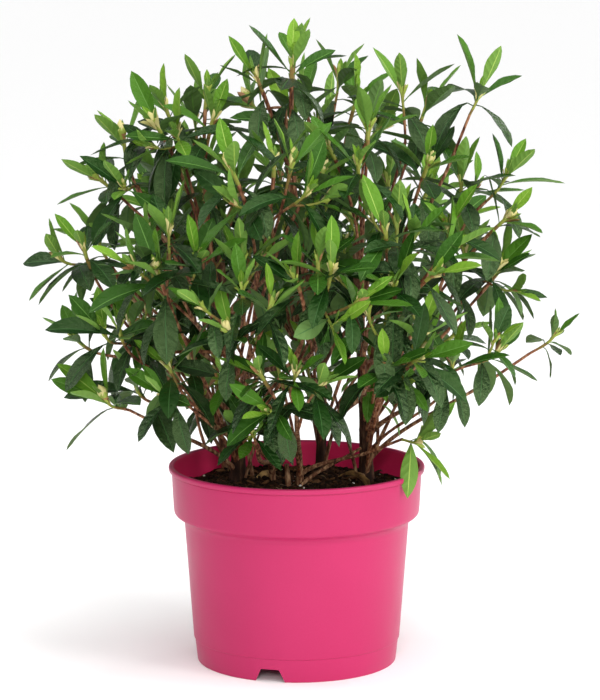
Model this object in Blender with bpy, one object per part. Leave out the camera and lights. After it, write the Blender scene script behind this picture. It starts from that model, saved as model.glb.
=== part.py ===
"""A young azalea shrub growing in a five litre nursery pot.

Metres, +Z up. The origin is on the pot's axis, on the flat underside that it stands on, and the
shrub's fuller face looks towards -Y. Six stems rise from the potting mix. Boughs leave them and
end at masses of foliage, and each mass is one solid: a short stem, its shoots and their leaves.
"""
import math
import random

import bmesh
import bpy
from mathutils import Vector
from mathutils.bvhtree import BVHTree

UP = Vector((0.0, 0.0, 1.0))
GAP = 0.0003  # the air left between two pieces that rest on each other

# The pot, a straight sided container 230 mm wide and 178 mm high
POT_SIDES = 36
POT_HEIGHT = 0.1783
LIP_RADIUS = 0.1150
LIP_DEPTH = 0.0053
COLLAR_TOP_RADIUS = 0.1122
COLLAR_FOOT_RADIUS = 0.1105
COLLAR_FOOT = 0.1400
COLLAR_UNDERSIDE = 0.1350
BODY_TOP_RADIUS = 0.1009
BODY_TOP = 0.1280
BODY_FOOT_RADIUS = 0.0929
BODY_FOOT = 0.0210
FOOT_RADIUS = 0.0919
FOOT_BASE_RADIUS = 0.0896
WALL = 0.0022
FLOOR_UNDERSIDE = 0.0120
FLOOR_TOP = 0.0145
PAD_RADIUS = 0.0300
NOTCH_COUNT = 3
NOTCH_HEIGHT = 0.0116
NOTCH_FOOT_WIDTH = 0.0270
NOTCH_TOP_WIDTH = 0.0166
NOTCH_TURN = math.radians(-105.2)

# The potting mix
SOIL_LEVEL = 0.1560

# Stems and boughs
STEM_SIDES = 6
STEM_STEPS = 7
BOUGH_SIDES = 5
BOUGH_STEPS = 6
FLARE = 0.45              # how much wider than itself a stem is where it meets the soil
FLARE_HEIGHT = 0.012
LIMB_CLEARANCE = 0.0012
BOUGH_TIP_RADIUS = 0.0019
BOUGH_SHIFTS = (0.0, 0.03, -0.03, 0.06, -0.06, 0.09, -0.09)
BOUGH_BOWS = (0.0, 0.008, -0.008, 0.016, -0.016, 0.024, -0.024, 0.034, -0.034)

# Foliage
CROWN_HEART = Vector((0.0, 0.02, 0.19))
LOWEST_FOLIAGE = 0.1680
FOLIAGE_CLEARANCE = 0.0006
TWIG_SIDES = 3
TWIG_RADIUS = 0.0015
TWIG_TURN = 60             # degrees between a twig's flat sides and those of the stem it leaves
BUD_LENGTH = 0.0080
LEAF_LENGTH = 0.058
LEAF_WIDTH = 0.0195
LEAF_THICKNESS = 0.0010
LEAF_FOLD = 0.0014
LEAF_NECK = 0.0035         # how far out from the twig leaves may touch each other
SMALL_LEAVED = {"right_tip": 0.55, "low_right": 0.75}
GOLDEN_ANGLE = math.radians(137.5)
SEED = 11

# Distance below the tip, and turn in degrees, of each ring of a twig's whorl
WHORL_RINGS = [(0.0160, 0), (0.0135, 30), (0.0050, 15), (0.0025, 45), (0.0, 75)]
# The ring that a leaf grows above, its spread and turn in degrees, its droop, and the sides used
WHORL_LEAVES = [(3, 46, 15, 0.15, (0, 1, 2)), (2, 76, -15, 0.55, (0, 1, 2)), (0, 95, 0, 0.8, (0,))]

# Name, foot (x, y), tip (x, y, z), foot radius, tip radius
STEMS = [
    ("stem_left", (-0.053, 0.035), (-0.070, 0.020, 0.395), 0.0063, 0.0026),
    ("stem_right", (0.063, 0.028), (0.052, -0.020, 0.380), 0.0060, 0.0026),
    ("stem_back", (0.023, 0.080), (0.020, 0.085, 0.400), 0.0047, 0.0024),
    ("stem_front", (0.003, 0.004), (0.000, -0.095, 0.240), 0.0028, 0.0019),
    ("stem_rear_left", (-0.066, 0.080), (-0.100, 0.105, 0.270), 0.0026, 0.0019),
    ("stem_middle", (-0.022, 0.030), (-0.034, -0.060, 0.200), 0.0025, 0.0019),
]

# Name, limb it grows from, how far up that limb, middle of its shoot tips, reach, shoots.
# A mass at 1.00 sits on the tip of its stem, and any other on a bough of its own.
MASSES = [
    ("top_left", "stem_left", 1.00, (-0.092, -0.010, 0.490), 0.042, 5),
    ("upper_front", "stem_right", 1.00, (0.056, -0.080, 0.470), 0.040, 4),
    ("top_back", "stem_back", 1.00, (0.030, 0.105, 0.490), 0.050, 5),
    ("low_front", "stem_front", 1.00, (-0.006, -0.145, 0.285), 0.032, 4),
    ("rear_left_low", "stem_rear_left", 1.00, (-0.125, 0.120, 0.310), 0.045, 5),
    ("low_middle", "stem_middle", 1.00, (-0.038, -0.095, 0.230), 0.025, 2),
    ("top_middle", "stem_back", 0.55, (-0.010, -0.010, 0.522), 0.042, 5),
    ("top_right", "stem_right", 0.72, (0.102, 0.005, 0.488), 0.038, 4),
    ("top_right_tip", "stem_right", 0.62, (0.157, -0.030, 0.510), 0.030, 1),
    ("right_high", "stem_right", 0.50, (0.162, -0.010, 0.420), 0.040, 4),
    ("right_middle", "stem_right", 0.36, (0.168, 0.000, 0.352), 0.035, 4),
    ("right_low", "stem_right", 0.27, (0.152, -0.075, 0.288), 0.035, 4),
    ("right_tip", "stem_right", 0.16, (0.218, -0.020, 0.290), 0.030, 1),
    ("low_right", "stem_front", 0.20, (0.107, -0.040, 0.214), 0.030, 2),
    ("right_front_high", "stem_right", 0.56, (0.094, -0.130, 0.392), 0.042, 5),
    ("right_front_low", "stem_right", 0.33, (0.083, -0.145, 0.315), 0.038, 5),
    ("front", "stem_left", 0.42, (0.022, -0.165, 0.362), 0.038, 4),
    ("top_front", "stem_left", 0.66, (-0.024, -0.120, 0.448), 0.045, 5),
    ("front_left", "stem_left", 0.30, (-0.048, -0.158, 0.345), 0.042, 4),
    ("left_front", "stem_left", 0.52, (-0.116, -0.110, 0.380), 0.042, 4),
    ("left_high", "stem_left", 0.74, (-0.148, -0.010, 0.448), 0.035, 4),
    ("left_middle", "stem_left", 0.46, (-0.178, 0.000, 0.372), 0.030, 3),
    ("left_low", "stem_left", 0.34, (-0.160, -0.020, 0.302), 0.035, 4),
    ("left_tip", "stem_left", 0.07, (-0.160, -0.035, 0.240), 0.026, 2),
    ("left_front_low", "stem_left", 0.20, (-0.110, -0.095, 0.262), 0.035, 3),
    ("rear_left_high", "stem_rear_left", 0.60, (-0.105, 0.110, 0.412), 0.050, 5),
    ("rear_middle", "stem_back", 0.32, (-0.005, 0.165, 0.350), 0.050, 5),
    ("rear_right_low", "stem_back", 0.22, (0.112, 0.125, 0.288), 0.048, 5),
    ("rear_right_high", "stem_back", 0.46, (0.110, 0.115, 0.402), 0.050, 5),
]


# ---------------------------------------------------------------- shared helpers

def paint(name, colour, roughness):
    """A plain Principled material."""
    material = bpy.data.materials.new(name)
    material.use_nodes = True
    shader = material.node_tree.nodes["Principled BSDF"]
    shader.inputs["Base Color"].default_value = (*colour, 1.0)
    shader.inputs["Roughness"].default_value = roughness
    shader.inputs["Metallic"].default_value = 0.0
    return material


def place(name, bm, material, sharp_from=None):
    """Turn a bmesh into a named object, shaded smooth up to an angle where one is given."""
    mesh = bpy.data.meshes.new(name)
    bm.to_mesh(mesh)
    bm.free()
    thing = bpy.data.objects.new(name, mesh)
    bpy.context.scene.collection.objects.link(thing)
    if material:
        mesh.materials.append(material)
    if sharp_from:
        mesh.shade_smooth()
        mesh.set_sharp_from_angle(angle=math.radians(sharp_from))
    return thing


def turned(profile):
    """A closed solid turned round the Z axis from an outline of (radius, height)."""
    bm = bmesh.new()
    corners = [bm.verts.new((radius, 0.0, height)) for radius, height in profile]
    edges = [bm.edges.new(pair) for pair in zip(corners, corners[1:])]
    bmesh.ops.spin(bm, geom=corners + edges, cent=(0, 0, 0), axis=(0, 0, 1), steps=POT_SIDES,
                   angle=math.tau, use_merge=True)
    bmesh.ops.remove_doubles(bm, verts=bm.verts, dist=0.00001)
    bmesh.ops.recalc_face_normals(bm, faces=bm.faces)
    return bm


def curve(start, start_aim, end, end_aim, steps, bow=Vector()):
    """Evenly stepped points of a cubic curve that leaves and arrives along two directions."""
    third = (end - start).length / 3.0
    first = start + start_aim * third + bow
    second = end - end_aim * third + bow * 0.6
    points = []
    for step in range(steps + 1):
        t = step / steps
        u = 1.0 - t
        points.append(start * u**3 + first * (3 * u * u * t) + second * (3 * u * t * t) + end * t**3)
    return points


def tube(points, radii, sides, aims=None, turns=None):
    """Corners and faces of a closed tapering tube, which a last radius of 0 ends in a point."""
    ways = []
    for index in range(len(points)):
        before = points[max(index - 1, 0)]
        after = points[min(index + 1, len(points) - 1)]
        ways.append((after - before).normalized())
    if aims:
        ways[0], ways[-1] = aims
    turns = turns or [0.0] * len(points)
    pointed = radii[-1] == 0.0
    rings = len(points) - 1 if pointed else len(points)
    corners = []
    across = ways[0].orthogonal().normalized()
    for ring in range(rings):
        across = (across - ways[ring] * across.dot(ways[ring])).normalized()
        other = ways[ring].cross(across)
        for side in range(sides):
            turn = math.tau * side / sides + math.radians(turns[ring])
            offset = across * math.cos(turn) + other * math.sin(turn)
            corners.append(points[ring] + offset * radii[ring])
    faces = [tuple(reversed(range(sides)))]
    for ring in range(rings - 1):
        for side in range(sides):
            here = ring * sides + side
            beside = ring * sides + (side + 1) % sides
            faces.append((here, beside, beside + sides, here + sides))
    last = (rings - 1) * sides
    if pointed:
        corners.append(points[-1])
        for side in range(sides):
            faces.append((last + side, last + (side + 1) % sides, len(corners) - 1))
    else:
        faces.append(tuple(range(last, last + sides)))
    return corners, faces


def as_bmesh(corners, faces):
    bm = bmesh.new()
    verts = [bm.verts.new(corner) for corner in corners]
    for face in faces:
        bm.faces.new([verts[index] for index in face])
    bmesh.ops.triangulate(bm, faces=bm.faces)
    return bm


def keep_evaluated(body):
    """Swap an object's mesh for the one that its modifiers give."""
    graph = bpy.context.evaluated_depsgraph_get()
    finished = bpy.data.meshes.new_from_object(body.evaluated_get(graph))
    body.modifiers.clear()
    body.data = finished


def keep_largest(body):
    """Drop every loose scrap and sealed hollow, and say whether the rest is closed."""
    bm = bmesh.new()
    bm.from_mesh(body.data)
    bmesh.ops.remove_doubles(bm, verts=bm.verts, dist=0.000001)
    bmesh.ops.triangulate(bm, faces=bm.faces)
    groups = []
    waiting = set(bm.verts)
    while waiting:
        group = []
        edge_of_group = [waiting.pop()]
        while edge_of_group:
            vert = edge_of_group.pop()
            group.append(vert)
            for edge in vert.link_edges:
                other = edge.other_vert(vert)
                if other in waiting:
                    waiting.discard(other)
                    edge_of_group.append(other)
        groups.append(group)
    groups.sort(key=len)
    for group in groups[:-1]:
        bmesh.ops.delete(bm, geom=group, context="VERTS")
    closed = all(len(edge.link_faces) == 2 and edge.is_contiguous for edge in bm.edges)
    bm.to_mesh(body.data)
    bm.free()
    return closed


# ---------------------------------------------------------------- pot and potting mix

def make_pot():
    """The container: rolled lip, deep collar, tapering body and a recessed foot with notches."""
    profile = [
        (0.0, 0.0),
        (PAD_RADIUS, 0.0),
        (PAD_RADIUS + 0.001, FLOOR_UNDERSIDE),
        (FOOT_BASE_RADIUS - WALL + 0.001, FLOOR_UNDERSIDE),
        (FOOT_BASE_RADIUS - WALL, 0.0),
        (FOOT_BASE_RADIUS, 0.0),
        (FOOT_RADIUS, BODY_FOOT - 0.001),
        (BODY_FOOT_RADIUS, BODY_FOOT),
        (BODY_TOP_RADIUS, BODY_TOP),
        (COLLAR_FOOT_RADIUS - 0.006, COLLAR_UNDERSIDE - 0.003),
        (COLLAR_FOOT_RADIUS - 0.0012, COLLAR_UNDERSIDE),
        (COLLAR_FOOT_RADIUS, COLLAR_FOOT),
        (COLLAR_TOP_RADIUS, POT_HEIGHT - LIP_DEPTH),
        (LIP_RADIUS - 0.0008, POT_HEIGHT - LIP_DEPTH + 0.0006),
        (LIP_RADIUS, POT_HEIGHT - 0.0015),
        (LIP_RADIUS - 0.0010, POT_HEIGHT),
        (COLLAR_TOP_RADIUS - WALL + 0.0006, POT_HEIGHT - 0.0006),
        (COLLAR_TOP_RADIUS - WALL, POT_HEIGHT - LIP_DEPTH),
        (COLLAR_FOOT_RADIUS - WALL, COLLAR_FOOT + 0.0010),
        (BODY_TOP_RADIUS - WALL, BODY_TOP),
        (BODY_FOOT_RADIUS - WALL, FLOOR_TOP + 0.0020),
        (BODY_FOOT_RADIUS - WALL - 0.0020, FLOOR_TOP),
        (0.0, FLOOR_TOP),
    ]
    pot = place("pot", turned(profile), paint("pot_plastic", (0.72, 0.05, 0.17), 0.35), 35)
    for index in range(NOTCH_COUNT):
        cut_notch(pot, NOTCH_TURN + index * math.tau / NOTCH_COUNT)


def cut_notch(pot, turn):
    """One trapezoid notch through the foot's wall, for water to run out."""
    below = 0.004
    slope = (NOTCH_FOOT_WIDTH - NOTCH_TOP_WIDTH) / 2 / NOTCH_HEIGHT
    foot_half = NOTCH_FOOT_WIDTH / 2 + slope * below
    top_half = NOTCH_TOP_WIDTH / 2
    outline = [(-foot_half, -below), (foot_half, -below),
               (top_half, NOTCH_HEIGHT), (-top_half, NOTCH_HEIGHT)]
    bm = bmesh.new()
    face = bm.faces.new([bm.verts.new((FOOT_BASE_RADIUS - 0.012, y, z)) for y, z in outline])
    grown = bmesh.ops.extrude_face_region(bm, geom=[face])
    far = [item for item in grown["geom"] if isinstance(item, bmesh.types.BMVert)]
    bmesh.ops.translate(bm, verts=far, vec=(0.030, 0.0, 0.0))
    bmesh.ops.recalc_face_normals(bm, faces=bm.faces)
    cutter = place(f"notch_cutter_{len(pot.modifiers)}", bm, None)
    cutter.rotation_euler.z = turn
    cutter.hide_render = True
    cutter.display_type = "WIRE"
    cut = pot.modifiers.new(cutter.name, "BOOLEAN")
    cut.operation = "DIFFERENCE"
    cut.object = cutter


def make_root_ball():
    """The potting mix and the roots in it, which fill the pot to just under its collar's top."""
    slack = WALL + GAP
    rise = (SOIL_LEVEL - COLLAR_FOOT) / (POT_HEIGHT - LIP_DEPTH - COLLAR_FOOT)
    top_radius = COLLAR_FOOT_RADIUS + (COLLAR_TOP_RADIUS - COLLAR_FOOT_RADIUS) * rise - slack
    profile = [
        (0.0, FLOOR_TOP + GAP),
        (BODY_FOOT_RADIUS - slack - 0.0024, FLOOR_TOP + GAP),
        (BODY_FOOT_RADIUS - slack, FLOOR_TOP + 0.0030),
        (BODY_TOP_RADIUS - slack, BODY_TOP + 0.0004),
        (COLLAR_FOOT_RADIUS - slack - 0.0002, COLLAR_FOOT + 0.0014),
        (top_radius, SOIL_LEVEL - 0.0015),
        (top_radius - 0.004, SOIL_LEVEL),
        (0.0, SOIL_LEVEL),
    ]
    place("root_ball", turned(profile), paint("potting_mix", (0.03, 0.018, 0.012), 0.95))


# ---------------------------------------------------------------- stems and boughs

class Limb:
    """One tapering limb: the points of its middle line, and its radius at each of them."""

    def __init__(self, points, radii, sides, start_aim, end_aim):
        self.points = points
        self.radii = radii
        self.sides = sides
        self.start_aim = start_aim
        self.end_aim = end_aim

    def solid(self, extra=0.0):
        radii = [radius + extra for radius in self.radii]
        return tube(self.points, radii, self.sides, aims=(self.start_aim, self.end_aim))

    def at(self, fraction):
        """The point, direction and radius a fraction of the way along."""
        place_along = fraction * (len(self.points) - 1)
        index = min(int(place_along), len(self.points) - 2)
        rest = place_along - index
        point = self.points[index].lerp(self.points[index + 1], rest)
        way = (self.points[index + 1] - self.points[index]).normalized()
        radius = self.radii[index] * (1 - rest) + self.radii[index + 1] * rest
        return point, way, radius

    def clears(self, other, skip):
        """True where this limb, past its first points, passes the other with room to spare."""
        for point, radius in list(zip(self.points, self.radii))[skip:]:
            for index in range(len(other.points) - 1):
                start = other.points[index]
                run = other.points[index + 1] - start
                along = max(0.0, min(1.0, (point - start).dot(run) / run.length_squared))
                width = other.radii[index] * (1 - along) + other.radii[index + 1] * along
                apart = (start + run * along - point).length
                if apart < width + radius + LIMB_CLEARANCE:
                    return False
        return True


def grow_stems():
    """Stems stand upright on a flat cut at the soil, flare there, and lean out as they rise."""
    limbs = {}
    for name, foot, tip, foot_radius, tip_radius in STEMS:
        start = Vector((*foot, SOIL_LEVEL + GAP))
        end = Vector(tip)
        end_aim = ((end - start).normalized() + UP * 0.6).normalized()
        points = curve(start, UP, end, end_aim, STEM_STEPS)
        points.insert(1, points[0].lerp(points[1], 0.3))
        radii = []
        for index, point in enumerate(points):
            taper = index / (len(points) - 1)
            flare = 1.0 + FLARE * math.exp((start.z - point.z) / FLARE_HEIGHT)
            radii.append((foot_radius * (1 - taper) + tip_radius * taper) * flare)
        limbs[name] = Limb(points, radii, STEM_SIDES, UP, end_aim)
    return limbs


def grow_boughs(limbs):
    """Each bough bows a little, one way or another, until it passes every limb before it."""
    for name, parent, fraction, middle, reach, shoots in MASSES:
        if fraction == 1.0:
            continue
        middle = Vector(middle)
        end_aim = ((middle - CROWN_HEART).normalized() + UP * 0.25).normalized()
        end = middle - end_aim * (0.030 + reach * 0.75)
        for shift in BOUGH_SHIFTS:
            start, way, width = limbs[parent].at(fraction + shift)
            towards = (end - start).normalized()
            start_aim = (towards + way * 0.5).normalized()
            sideways = towards.cross(UP).normalized()
            foot_radius = min(width * 0.75, 0.0020 + 0.0003 * shoots)
            radii = [foot_radius + (BOUGH_TIP_RADIUS - foot_radius) * step / BOUGH_STEPS
                     for step in range(BOUGH_STEPS + 1)]
            trials = [Limb(curve(start, start_aim, end, end_aim, BOUGH_STEPS, sideways * bow),
                           radii, BOUGH_SIDES, start_aim, end_aim) for bow in BOUGH_BOWS]
            clear = [trial for trial in trials
                     if all(trial.clears(other, 2 if key == parent else 0)
                            for key, other in limbs.items())]
            if clear:
                limbs["bough_" + name] = clear[0]
                break
        else:
            raise ValueError("no room for the bough of " + name)


def make_limbs(limbs):
    parents = {"bough_" + row[0]: row[1] for row in MASSES}
    for name, limb in limbs.items():
        bark = paint("bark_" + name, (0.16, 0.085, 0.05), 0.85)
        body = place(name, as_bmesh(*limb.solid()), bark, 50)
        if name in parents:
            cut_clear(body, limbs[parents[name]])


def cut_clear(body, parent):
    """Take the parent limb, and a hair's breadth round it, out of a bough's foot."""
    cutter = place("cutter", as_bmesh(*parent.solid(GAP)), None)
    cut = body.modifiers.new("foot", "BOOLEAN")
    cut.operation = "DIFFERENCE"
    cut.object = cutter
    keep_evaluated(body)
    bpy.data.objects.remove(cutter)
    keep_largest(body)


# ---------------------------------------------------------------- foliage

class Mass:
    """One mass while it grows: the room it keeps to, what it may not touch, its pieces so far."""

    def __init__(self, name, keep_out):
        rooms = {row[0]: (Vector(row[3]), row[4]) for row in MASSES}
        middle, reach = rooms.pop(name)
        self.keep_out = keep_out
        self.leaf_size = SMALL_LEAVED.get(name, 1.0)
        self.pieces = []
        self.crowd = []
        self.walls = []
        for other_middle, other_reach in rooms.values():
            apart = other_middle - middle
            share = 0.5 + 0.35 * (reach - other_reach) / apart.length
            self.walls.append((apart.normalized(), middle + apart * share))

    def holds(self, corners):
        """True where every corner is nearer to this mass than to any other, and high enough."""
        for way, point in self.walls:
            if any((corner - point).dot(way) > -1.5 * GAP for corner in corners):
                return False
        return all(corner.z > LOWEST_FOLIAGE for corner in corners)

    def fits(self, corners, tree):
        """True where a shape is also off the limbs, off the pot and off the pieces so far."""
        if not self.holds(corners) or self.keep_out.overlap(tree):
            return False
        return not any(old.overlap(tree) for old in self.crowd)


# A blade's low left, low right, high right and high left root corners, then its left edge,
# right edge, underside and tip
BLADE_FACES = [(3, 4, 7), (3, 7, 2), (2, 7, 5), (0, 6, 4), (4, 6, 7), (7, 6, 5), (5, 6, 1),
               (1, 6, 0), (0, 4, 3), (2, 5, 1)]


def keep_out_tree(limbs):
    """Everything that foliage may not touch: the limbs and the pot, a little thickened."""
    rim = [Vector(), Vector((0, 0, POT_HEIGHT + FOLIAGE_CLEARANCE))]
    solids = [limb.solid(FOLIAGE_CLEARANCE) for limb in limbs.values()]
    solids.append(tube(rim, [LIP_RADIUS + FOLIAGE_CLEARANCE] * 2, POT_SIDES))
    corners = []
    faces = []
    for some_corners, some_faces in solids:
        first = len(corners)
        corners += some_corners
        faces += [tuple(first + index for index in face) for face in some_faces]
    return BVHTree.FromPolygons(corners, faces)


def blade(root, along, tip_aim, length):
    """The left edge, right edge, underside and tip of a folded leaf."""
    right = tip_aim.cross(along).normalized()
    upper = along.cross(right)
    edge = right * LEAF_WIDTH / 2 * length / LEAF_LENGTH
    widest = root + along * length * 0.5
    return [widest - edge + upper * LEAF_FOLD,
            widest + edge + upper * LEAF_FOLD,
            widest - upper * LEAF_THICKNESS / 2,
            root + along * length]


def grow_leaf(mass, dice, foot, middle, tip_aim, kind, trees):
    """The free corners of one leaf on a side of a twig, or nothing where none fits."""
    _, spread, sweep, droop, _ = kind
    root = sum(foot, Vector()) / 4
    flat = (root - middle).normalized()
    for attempt in range(10):
        loose = 1 + attempt * 0.12
        turn = math.radians(sweep + dice.uniform(-13, 13) * loose)
        tilt = math.radians(spread + dice.uniform(-9, 9) * loose)
        around = flat * math.cos(turn) + tip_aim.cross(flat) * math.sin(turn)
        along = tip_aim * math.cos(tilt) + around * math.sin(tilt)
        along = (along - UP * droop * dice.uniform(0.4, 1.2)).normalized()
        length = LEAF_LENGTH * mass.leaf_size * dice.uniform(0.82, 1.1) * (1 - 0.025 * attempt)
        corners = blade(root, along, tip_aim, length)
        outer = [corner + along * LEAF_NECK for corner in foot] + corners
        tree = BVHTree.FromPolygons(outer, BLADE_FACES)
        if mass.fits(outer, tree) and not any(old.overlap(tree) for old in trees):
            return corners, tree
    return None, None


def grow_shoot(mass, dice, start, start_aim, tip, tip_aim):
    """One twig that ends in a bud, with leaves drawn out of its sides below the bud."""
    points = curve(start, start_aim, tip - tip_aim * WHORL_RINGS[0][0], tip_aim, 2)[:2]
    turns = [TWIG_TURN] * 2
    for below, turn in WHORL_RINGS:
        points.append(tip - tip_aim * below)
        turns.append(TWIG_TURN + turn)
    points.append(tip + tip_aim * BUD_LENGTH)
    turns.append(0.0)
    radii = [TWIG_RADIUS] * (len(points) - 1) + [0.0]
    corners, faces = tube(points, radii, TWIG_SIDES, turns=turns)
    twig_tree = BVHTree.FromPolygons(corners, faces)
    free_tree = BVHTree.FromPolygons(*tube(points[1:], radii[1:], TWIG_SIDES))
    if not mass.fits(corners, free_tree) or mass.keep_out.overlap(twig_tree):
        return False
    trees = [twig_tree]
    covered = []
    for kind in WHORL_LEAVES:
        ring = kind[0] + 2
        for side in kind[4]:
            low_left = ring * TWIG_SIDES + side
            low_right = ring * TWIG_SIDES + (side + 1) % TWIG_SIDES
            quad = (low_left, low_right, low_right + TWIG_SIDES, low_left + TWIG_SIDES)
            foot = [corners[index] for index in quad]
            middle = (points[ring] + points[ring + 1]) / 2
            free, tree = grow_leaf(mass, dice, foot, middle, tip_aim, kind, trees)
            if free:
                names = quad + tuple(len(corners) + index for index in range(4))
                corners += free
                faces += [tuple(names[index] for index in face) for face in BLADE_FACES]
                covered.append(quad)
                trees.append(tree)
    faces = [face for face in faces if face not in covered]
    mass.pieces.append((corners, faces))
    mass.crowd += [free_tree] + trees[1:]
    return True


def grow_mass(mass, dice, limb, middle, reach, shoots):
    """The short stem of a mass, then shoots that spread over a dome on its far side."""
    aim = limb.end_aim
    root = limb.points[-1] + aim * GAP
    heart = middle - aim * reach * 0.55
    stem_radii = [BOUGH_TIP_RADIUS, TWIG_RADIUS * 1.2]
    stem_aims = (aim, (heart - root).normalized())
    mass.pieces.append(tube([root, heart], stem_radii, TWIG_SIDES, aims=stem_aims))
    across = aim.orthogonal().normalized()
    other = aim.cross(across)
    for number in range(shoots):
        for attempt in range(16):
            wide = math.radians(92) * math.sqrt((number + 0.15) / shoots) * dice.uniform(0.85, 1.1)
            turn = number * GOLDEN_ANGLE + dice.uniform(-0.3, 0.3) * (1 + attempt * 0.5)
            around = across * math.cos(turn) + other * math.sin(turn)
            way = aim * math.cos(wide) + around * math.sin(wide)
            tip = heart + way * reach * dice.uniform(0.9, 1.15)
            tip_aim = (way + UP * 0.5 + aim * 0.3).normalized()
            start = root.lerp(heart, 0.45 + 0.5 * (1 - number / shoots))
            start_aim = ((tip - start).normalized() + aim * 0.4).normalized()
            if grow_shoot(mass, dice, start, start_aim, tip, tip_aim):
                break


def fuse(name, pieces, material):
    """Join a mass's pieces by one union, or give nothing where the result isn't closed."""
    for solver in ("EXACT", "MANIFOLD"):
        body = place(name, as_bmesh(*pieces[0]), material)
        group = bpy.data.collections.new(name + "_pieces")
        bpy.context.scene.collection.children.link(group)
        for piece in pieces[1:]:
            shoot = place(name + "_piece", as_bmesh(*piece), None)
            bpy.context.scene.collection.objects.unlink(shoot)
            group.objects.link(shoot)
        join = body.modifiers.new("join", "BOOLEAN")
        join.operation = "UNION"
        join.operand_type = "COLLECTION"
        join.collection = group
        join.solver = solver
        keep_evaluated(body)
        for shoot in list(group.objects):
            bpy.data.objects.remove(shoot)
        bpy.data.collections.remove(group)
        if keep_largest(body):
            return body
        bpy.data.objects.remove(body)
    return None


def make_foliage(limbs):
    keep_out = keep_out_tree(limbs)
    for number, (name, parent, _, middle, reach, shoots) in enumerate(MASSES):
        green = paint("leaves_" + name, (0.09, 0.22, 0.05), 0.45)
        limb = limbs.get("bough_" + name) or limbs[parent]
        body = None
        seed = SEED * 1000 + number
        while not body:
            mass = Mass(name, keep_out)
            grow_mass(mass, random.Random(seed), limb, Vector(middle), reach, shoots)
            body = fuse("foliage_" + name, mass.pieces, green)
            seed += len(MASSES)


def main():
    for thing in list(bpy.data.objects):
        bpy.data.objects.remove(thing)
    make_pot()
    make_root_ball()
    limbs = grow_stems()
    grow_boughs(limbs)
    make_limbs(limbs)
    make_foliage(limbs)


main()
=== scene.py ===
# %% [markdown]
# # A young azalea in its pot
#
# This lesson dresses a plain solid model of a potted shrub: a turned pot with a rolled rim, lumpy
# potting mix, barked stems and boughs, and a crown of nearly two hundred leafy shoots. The solids
# say where everything is. Each piece made here takes the place of one or more of them.

# %% Load the solid model
import math
import random

import bmesh
import bpy
import numpy as np
from mathutils import Matrix, Vector, noise
from mathutils.bvhtree import BVHTree


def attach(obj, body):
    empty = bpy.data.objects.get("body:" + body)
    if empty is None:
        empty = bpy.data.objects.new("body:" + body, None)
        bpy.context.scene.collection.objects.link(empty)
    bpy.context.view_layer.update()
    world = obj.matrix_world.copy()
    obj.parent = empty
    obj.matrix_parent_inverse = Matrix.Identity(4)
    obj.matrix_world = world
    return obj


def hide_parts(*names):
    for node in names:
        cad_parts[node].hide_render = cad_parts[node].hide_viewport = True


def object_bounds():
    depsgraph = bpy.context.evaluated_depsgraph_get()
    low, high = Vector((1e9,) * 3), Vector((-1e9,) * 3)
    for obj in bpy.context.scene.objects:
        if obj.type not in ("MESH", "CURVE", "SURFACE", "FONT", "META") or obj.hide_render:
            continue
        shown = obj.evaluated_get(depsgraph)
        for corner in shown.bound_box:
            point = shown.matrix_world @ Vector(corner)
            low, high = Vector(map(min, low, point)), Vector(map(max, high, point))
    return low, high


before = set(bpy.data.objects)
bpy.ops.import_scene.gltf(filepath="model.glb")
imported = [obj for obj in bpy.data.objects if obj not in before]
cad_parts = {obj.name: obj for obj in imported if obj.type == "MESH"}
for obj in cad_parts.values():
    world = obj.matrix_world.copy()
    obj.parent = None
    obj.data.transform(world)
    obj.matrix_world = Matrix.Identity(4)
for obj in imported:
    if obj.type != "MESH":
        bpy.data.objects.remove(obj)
solid_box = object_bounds()
print("solid model:", len(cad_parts), "nodes, reaching", [round(x, 3) for x in solid_box[1]])

# %% [markdown]
# ## The camera
#
# A product view of a plant is taken from a few metres off with a long lens, so that the pot's
# rim is a flat ellipse and its sides hardly converge. The camera comes first, because every
# later step is looked at through it. Its place is given in metres from the foot of the pot.

# %% Camera
CAMERA_PLACE = (0.0, -2.742, 0.733)
CAMERA_TILT = 0.1631     # radians below the horizon
CAMERA_TURN = -0.0011
LENS = 160.15            # mm
SENSOR = 36.0            # mm along the frame's longer side
FAR_CLIP = 200.0
PLANT_MIDDLE = Vector((0.0, 0.0, 0.29))


def make_camera():
    lens = bpy.data.cameras.new("camera")
    lens.lens = LENS
    lens.sensor_width = SENSOR
    lens.clip_end = FAR_CLIP
    camera = bpy.data.objects.new("camera", lens)
    camera.location = CAMERA_PLACE
    camera.rotation_euler = (math.pi / 2 - CAMERA_TILT, 0.0, CAMERA_TURN)
    bpy.context.scene.collection.objects.link(camera)
    bpy.context.scene.camera = camera
    return camera


camera = make_camera()
print("camera", round((camera.location - PLANT_MIDDLE).length, 2), "m from the plant's middle")

# %% [markdown]
# ## Shader maths that reads as Python
#
# A pattern in a material is a chain of nodes. Wiring each one by hand hides what it works out,
# so a small class stands for a number that changes over the surface. Adding or multiplying
# two of them adds the Math node that does it. Every other node comes from one method, which
# sets the node's own settings before its sockets.

# %% Signals
class Signal:
    """A value that changes over a surface: the output of a shader node."""

    def __init__(self, tree, socket):
        self.tree = tree
        self.socket = socket

    def maths(self, operation, *values):
        node = self.tree.nodes.new("ShaderNodeMath")
        node.operation = operation
        for slot, value in zip(node.inputs, values):
            feed(self.tree, slot, value)
        return Signal(self.tree, node.outputs[0])

    def __add__(self, other):
        return self.maths("ADD", self, other)

    def __sub__(self, other):
        return self.maths("SUBTRACT", self, other)

    def __rsub__(self, other):
        return self.maths("SUBTRACT", other, self)

    def __mul__(self, other):
        return self.maths("MULTIPLY", self, other)

    __radd__ = __add__
    __rmul__ = __mul__


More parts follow.
